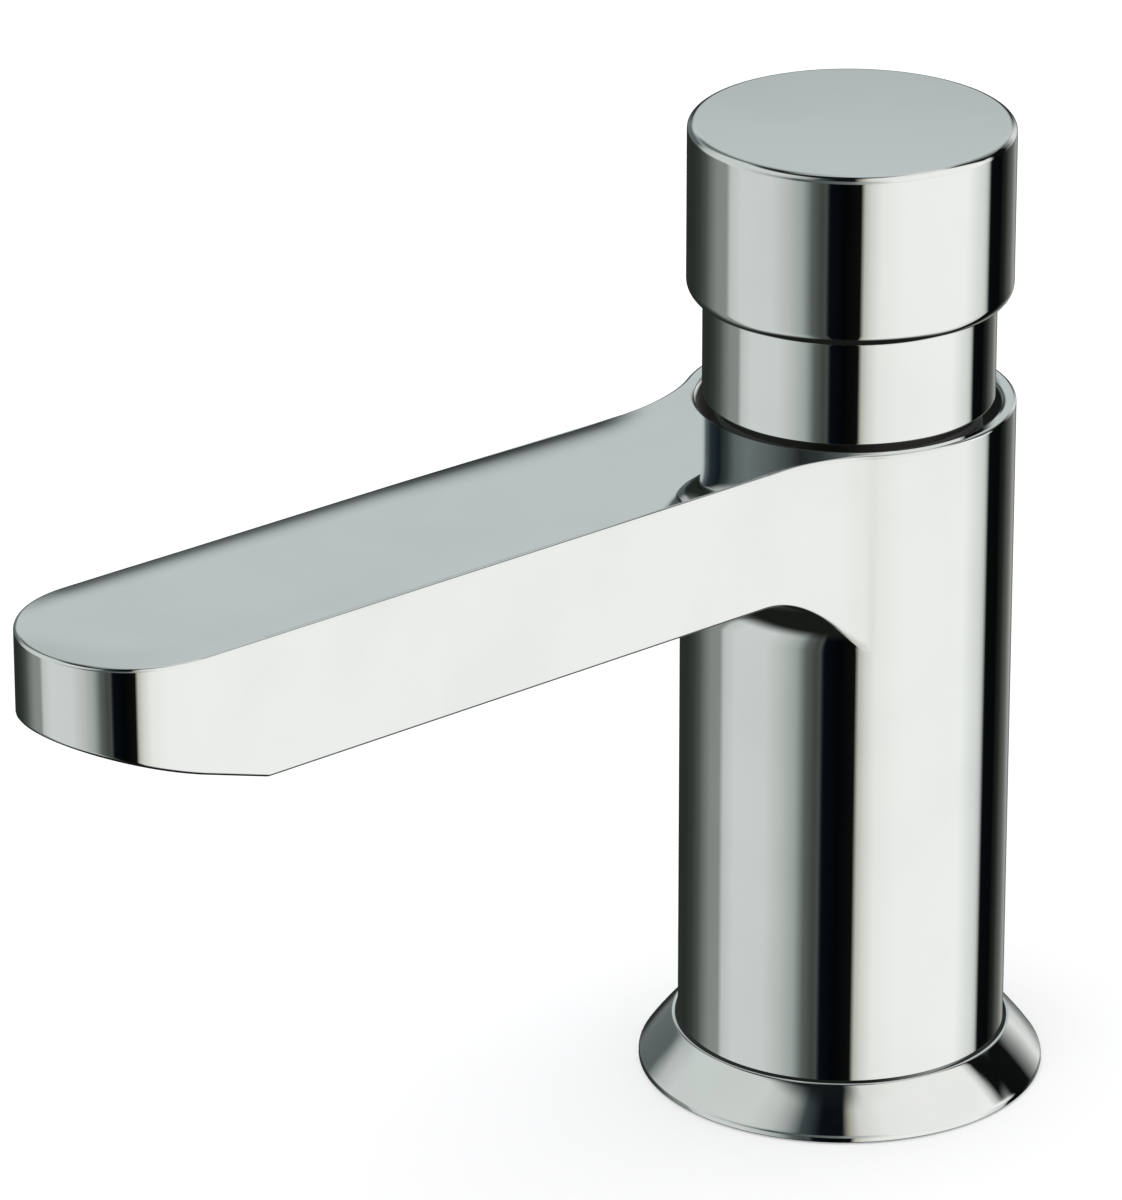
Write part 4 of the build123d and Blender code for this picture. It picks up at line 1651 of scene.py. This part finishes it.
# A ring of the studio's walls. Each row has a bearing from the camera, in degrees to the right, and
# the red, green and blue that the polished plate shows there
Ring = tuple[tuple[float, int, int, int], ...]
RIGHT_OF_CAMERA: Ring = (
    (0, 92, 99, 98), (14, 176, 178, 174), (30, 238, 239, 236), (97, 236, 237, 234),
    (101, 190, 194, 191), (105, 10, 12, 12), (131, 14, 16, 16), (142, 120, 126, 125),
    (155, 183, 191, 190),
)


@dataclass
class Studio:
    """Camera, walls, floor and lamp. The bands are heights above the horizon, in degrees."""

    camera_place: Vector = Vector((0.7388, -0.6725, 0.4911))
    camera_right: Vector = Vector((0.6444, 0.7646, -0.0011))
    camera_up: Vector = Vector((-0.2976, 0.2521, 0.9208))
    lens: float = 256.7
    sensor: float = 36.0
    lamp_energy: float = 0.7
    lamp_width: float = radians(60)
    lamp_forward: float = 0.35
    lamp_left: float = 0.45
    lamp_up: float = 1.1
    matt_light: Paint = (0.78, 0.78, 0.79, 1.0)
    backdrop: Paint = (1.0, 1.0, 1.0, 1.0)
    floor_paint: Paint = (0.90, 0.90, 0.905, 1.0)
    floor_patches: Paint = (0.92, 0.92, 0.925, 1.0)
    floor_size: float = 6.0
    floor_drop: float = 0.0002
    floor_glow: float = 0.25
    plate_reflectance: float = 0.80
    level_band: tuple[float, float] = (-18, -6)
    middle_band: tuple[float, float] = (11.5, 21)
    high_band: tuple[float, float] = (23, 30)
    flag_foot: tuple[float, float] = (14, 17)
    flag_head: tuple[float, float] = (27, 31)
    roof_band: tuple[float, float] = (50, 59)
    skylight_band: tuple[float, float] = (66, 75)
    ground_band: tuple[float, float] = (43, 63)
    second_bounce: tuple[float, float] = (1.2, 1.8)
    low_walls: Ring = (
        (-180, 38, 42, 39), (-144, 38, 43, 39), (-132, 49, 55, 51), (-122, 72, 77, 73),
        (-114, 106, 111, 107), (-107, 127, 132, 128), (-97, 131, 136, 132), (-93, 184, 189, 186),
        (-82, 199, 204, 202), (-57, 197, 202, 200), (-43, 176, 181, 177), (-34, 150, 159, 155),
        (-27, 87, 93, 90), (-20, 60, 65, 61), (-17, 70, 75, 72), (-15, 8, 12, 18), (-4, 3, 4, 6),
        (7.2, 14, 13, 11), (9.8, 180, 180, 170), (14, 205, 206, 200), (22, 228, 229, 224),
        (40, 234, 236, 233), (88, 236, 237, 235), (106, 205, 209, 206), (110, 185, 189, 186),
        (114, 8, 10, 10), (128, 5, 8, 9), (137, 36, 38, 34), (150, 92, 94, 90),
        (162, 150, 152, 148), (176, 38, 42, 39),
    )
    level_walls: Ring = (
        (-180, 40, 46, 45), (-168, 40, 46, 45), (-160, 104, 111, 110), (-150, 94, 101, 100),
        (-131, 86, 94, 93), (-120, 176, 182, 179), (-108, 194, 200, 197), (-80, 196, 202, 199),
        (-50, 150, 157, 155), (-38, 70, 78, 78), (-15, 84, 90, 90), (0, 104, 110, 110),
        (14, 180, 182, 178), (30, 226, 227, 223), (100, 236, 237, 235), (108, 205, 209, 206),
        (112, 10, 12, 12), (128, 14, 16, 16), (136, 132, 134, 132), (148, 217, 218, 216),
        (158, 190, 194, 192), (168, 40, 46, 45),
    )
    middle_walls: Ring = (
        (-180, 183, 191, 190), (-158, 183, 191, 190), (-146, 120, 128, 127),
        (-132, 140, 147, 145), (-122, 176, 182, 179), (-109, 194, 200, 197), (-57, 197, 202, 199),
        (-43, 176, 182, 179), (-34, 140, 147, 145), (-24, 76, 84, 83), *RIGHT_OF_CAMERA,
    )
    flag: Ring = (
        (-180, 183, 191, 190), (-160, 183, 191, 190), (-150, 92, 102, 104), (-138, 40, 50, 55),
        (-122, 20, 28, 32), (-110, 58, 66, 65), (-100, 97, 106, 105), (-86, 112, 121, 121),
        (-66, 97, 106, 105), (-51, 76, 84, 83), (-38, 38, 44, 43), (-22, 50, 57, 56),
        *RIGHT_OF_CAMERA,
    )
    high_walls: Ring = (
        (-180, 184, 192, 191), (-166, 170, 178, 176), (-150, 92, 98, 96), (-134, 112, 118, 116),
        (-120, 194, 201, 198), (-57, 199, 204, 200), (-43, 182, 187, 183), (-34, 152, 158, 155),
        (-24, 60, 68, 70), (-12, 9, 14, 19), (3, 10, 14, 18), (7.5, 160, 158, 146),
        (14, 207, 208, 202), (30, 228, 229, 225), (60, 234, 234, 231), (97, 232, 233, 229),
        (101, 190, 194, 191), (104, 10, 12, 12), (114, 14, 16, 16), (126, 112, 116, 114),
        (142, 160, 166, 164), (160, 184, 192, 191),
    )
    roof: Ring = (
        (-180, 184, 192, 191), (-160, 150, 157, 155), (-140, 56, 62, 61), (-110, 30, 34, 34),
        (4, 16, 20, 22), (10, 120, 120, 114), (20, 212, 213, 208), (50, 228, 229, 225),
        (100, 215, 217, 214), (150, 190, 194, 192),
    )
    skylight: Ring = (
        (-180, 184, 192, 191), (-120, 160, 167, 165), (-80, 16, 20, 22), (45, 16, 20, 22),
        (85, 160, 167, 165), (120, 184, 192, 191),
    )
    ground: tuple[int, int, int] = (24, 26, 23)

    def build_camera(self) -> None:
        """Places the camera where the photograph was taken from."""
        data = bpy.data.cameras.new("camera")
        data.lens = self.lens
        data.sensor_width = self.sensor
        data.sensor_fit = "HORIZONTAL"
        data.clip_start, data.clip_end = 0.01, 50.0
        camera = add_object("camera", data)
        back = self.camera_right.cross(self.camera_up)
        axes = Matrix((self.camera_right, self.camera_up, back)).transposed()
        camera.matrix_world = Matrix.Translation(self.camera_place) @ axes.to_4x4()
        bpy.context.scene.camera = camera

    def build_world(self) -> None:
        """Hangs the walls: plain light for matt things, panels and flags for polished ones."""
        world = bpy.data.worlds.new("studio")
        bpy.context.scene.world = world
        world.use_nodes = True
        graph = NodeGraph(world.node_tree)
        ray = graph.node("ShaderNodeTexCoord").outputs["Generated"]
        parts = graph.node("ShaderNodeSeparateXYZ", inputs={"Vector": ray})
        x, y, z = (Shade(graph, output) for output in parts.outputs)
        path = graph.node("ShaderNodeLightPath")
        polished = Shade(graph, path.outputs["Is Glossy Ray"])
        seen = Shade(graph, path.outputs["Is Camera Ray"])
        twice = Shade(graph, path.outputs["Glossy Depth"]).step(*self.second_bounce)
        # Nought to one from half a turn left of the camera to half a turn right of it
        far = hypot(self.camera_place.x, self.camera_place.y)
        ahead_x, ahead_y = self.camera_place.x / far, self.camera_place.y / far
        ahead = x * ahead_x + y * ahead_y
        aside = x * -ahead_y + y * ahead_x
        bearing = aside.bearing(ahead) / FULL_TURN + 0.5
        # From the lowest walls up to the skylight, each over the one before
        studio = self._ring(graph, bearing, self.low_walls)
        flag_share = self._over(z, self.flag_foot) * (1.0 - self._over(z, self.flag_head)) * twice
        for share, ring in (
            (self._over(z, self.level_band), self.level_walls),
            (self._over(z, self.middle_band), self.middle_walls),
            (self._over(z, self.high_band), self.high_walls),
            (flag_share, self.flag),
            (self._over(z, self.roof_band), self.roof),
            (self._over(z, self.skylight_band), self.skylight),
        ):
            studio = graph.mix_colours(share, studio, self._ring(graph, bearing, ring))
        ground = self._light(self.ground)
        studio = graph.mix_colours(self._over(0.0 - z, self.ground_band), studio, ground)
        matt = graph.mix_colours(seen, self.matt_light, self.backdrop)
        colour = graph.mix_colours(polished, matt, studio)
        light = graph.node("ShaderNodeBackground", inputs={"Color": colour, "Strength": 1.0})
        graph.node("ShaderNodeOutputWorld", inputs={"Surface": light.outputs[0]})

    @staticmethod
    def _over(height: Shade, band: tuple[float, float]) -> Shade:
        """Rises from nought to one as a ray climbs through a band of heights."""
        low, high = band
        return height.step(sin(radians(low)), sin(radians(high)))

    def _ring(self, graph: NodeGraph, bearing: Shade, ring: Ring) -> bpy.types.NodeSocket:
        """Hangs one ring of walls.

        Args:
            graph: the world's nodes.
            bearing: the ray's bearing, nought to one.
            ring: the walls in order.

        Returns:
            The ring's colour.
        """
        stops = [((place + 180) / 360, self._light(colour)) for place, *colour in ring]
        return graph.node("ShaderNodeValToRGB", {"stops": stops}, {"Fac": bearing}).outputs[0]

    def _light(self, colour: Sequence[int]) -> Paint:
        """Gives the light that a wall sends so that the plate shows its colour.

        Args:
            colour: the screen colour wanted in the plate.

        Returns:
            The wall's light.
        """
        red, green, blue, _ = linear(*colour)
        share = self.plate_reflectance
        return (red / share, green / share, blue / share, 1.0)

    def build_floor(self) -> None:
        """Lays the pale floor, which keeps the tap's shadow."""
        mesh = bmesh.new()
        bmesh.ops.create_grid(mesh, x_segments=1, y_segments=1, size=self.floor_size)
        bmesh.ops.translate(mesh, verts=mesh.verts[:], vec=(0, 0, -self.floor_drop))
        data = bpy.data.meshes.new("floor")
        mesh.to_mesh(data)
        mesh.free()
        floor = add_object("floor", data)
        floor.visible_glossy = False
        material = bpy.data.materials.new("pale_floor")
        material.use_nodes = True
        graph = NodeGraph(material.node_tree)
        where = graph.node("ShaderNodeTexCoord").outputs["Object"]
        mottle = graph.noise(where, 3.0, 2.0)
        paint = graph.mix_colours(mottle, self.floor_paint, self.floor_patches)
        matt = graph.node("ShaderNodeBsdfDiffuse", inputs={"Color": paint})
        path = graph.node("ShaderNodeLightPath")
        seen = Shade(graph, path.outputs["Is Camera Ray"])
        glow = graph.node("ShaderNodeEmission", inputs={"Strength": seen * self.floor_glow})
        both = graph.node("ShaderNodeAddShader", inputs={0: matt.outputs[0], 1: glow.outputs[0]})
        clear = graph.node("ShaderNodeBsdfTransparent")
        below = graph.node("ShaderNodeNewGeometry").outputs["Backfacing"]
        sides = {0: below, 1: both.outputs[0], 2: clear.outputs[0]}
        shader = graph.node("ShaderNodeMixShader", inputs=sides)
        graph.node("ShaderNodeOutputMaterial", inputs={"Surface": shader.outputs[0]})
        data.materials.append(material)

    def build_lamp(self) -> None:
        """Hangs the one soft lamp, up and to the left of the camera."""
        data = bpy.data.lights.new("soft_lamp", "SUN")
        data.energy = self.lamp_energy
        data.angle = self.lamp_width
        lamp = add_object("soft_lamp", data)
        lamp.visible_glossy = False
        forward = self.camera_place.normalized() * self.lamp_forward
        toward = forward - self.camera_right * self.lamp_left + UPWARDS * self.lamp_up
        lamp.rotation_mode = "QUATERNION"
        lamp.rotation_quaternion = toward.to_track_quat("Z", "Y")

    def build(self) -> None:
        """Builds the whole studio."""
        self.build_camera()
        self.build_world()
        self.build_floor()
        self.build_lamp()
        bpy.context.scene.view_settings.view_transform = "Standard"
        round_by = degrees(atan2(self.camera_place.x, -self.camera_place.y))
        log.info("studio: camera %.1f degrees round", round_by)


def main() -> None:
    """Builds the tap from its sub-assemblies and sets it in the studio."""
    logging.basicConfig(level=logging.INFO, format="%(name)s %(message)s")
    shop = Workshop(Finishes(), frame["nodes"])
    casting = BodyCasting(shop)
    aerator = Aerator(shop, casting)
    outside = (casting, PushButton(shop), BaseFlange(shop), Shank(shop), aerator)
    for assembly in (*outside, ReturnSpring(shop), Cartridge(shop)):
        assembly.dress()
    Studio().build()


if __name__ == "__main__":
    main()
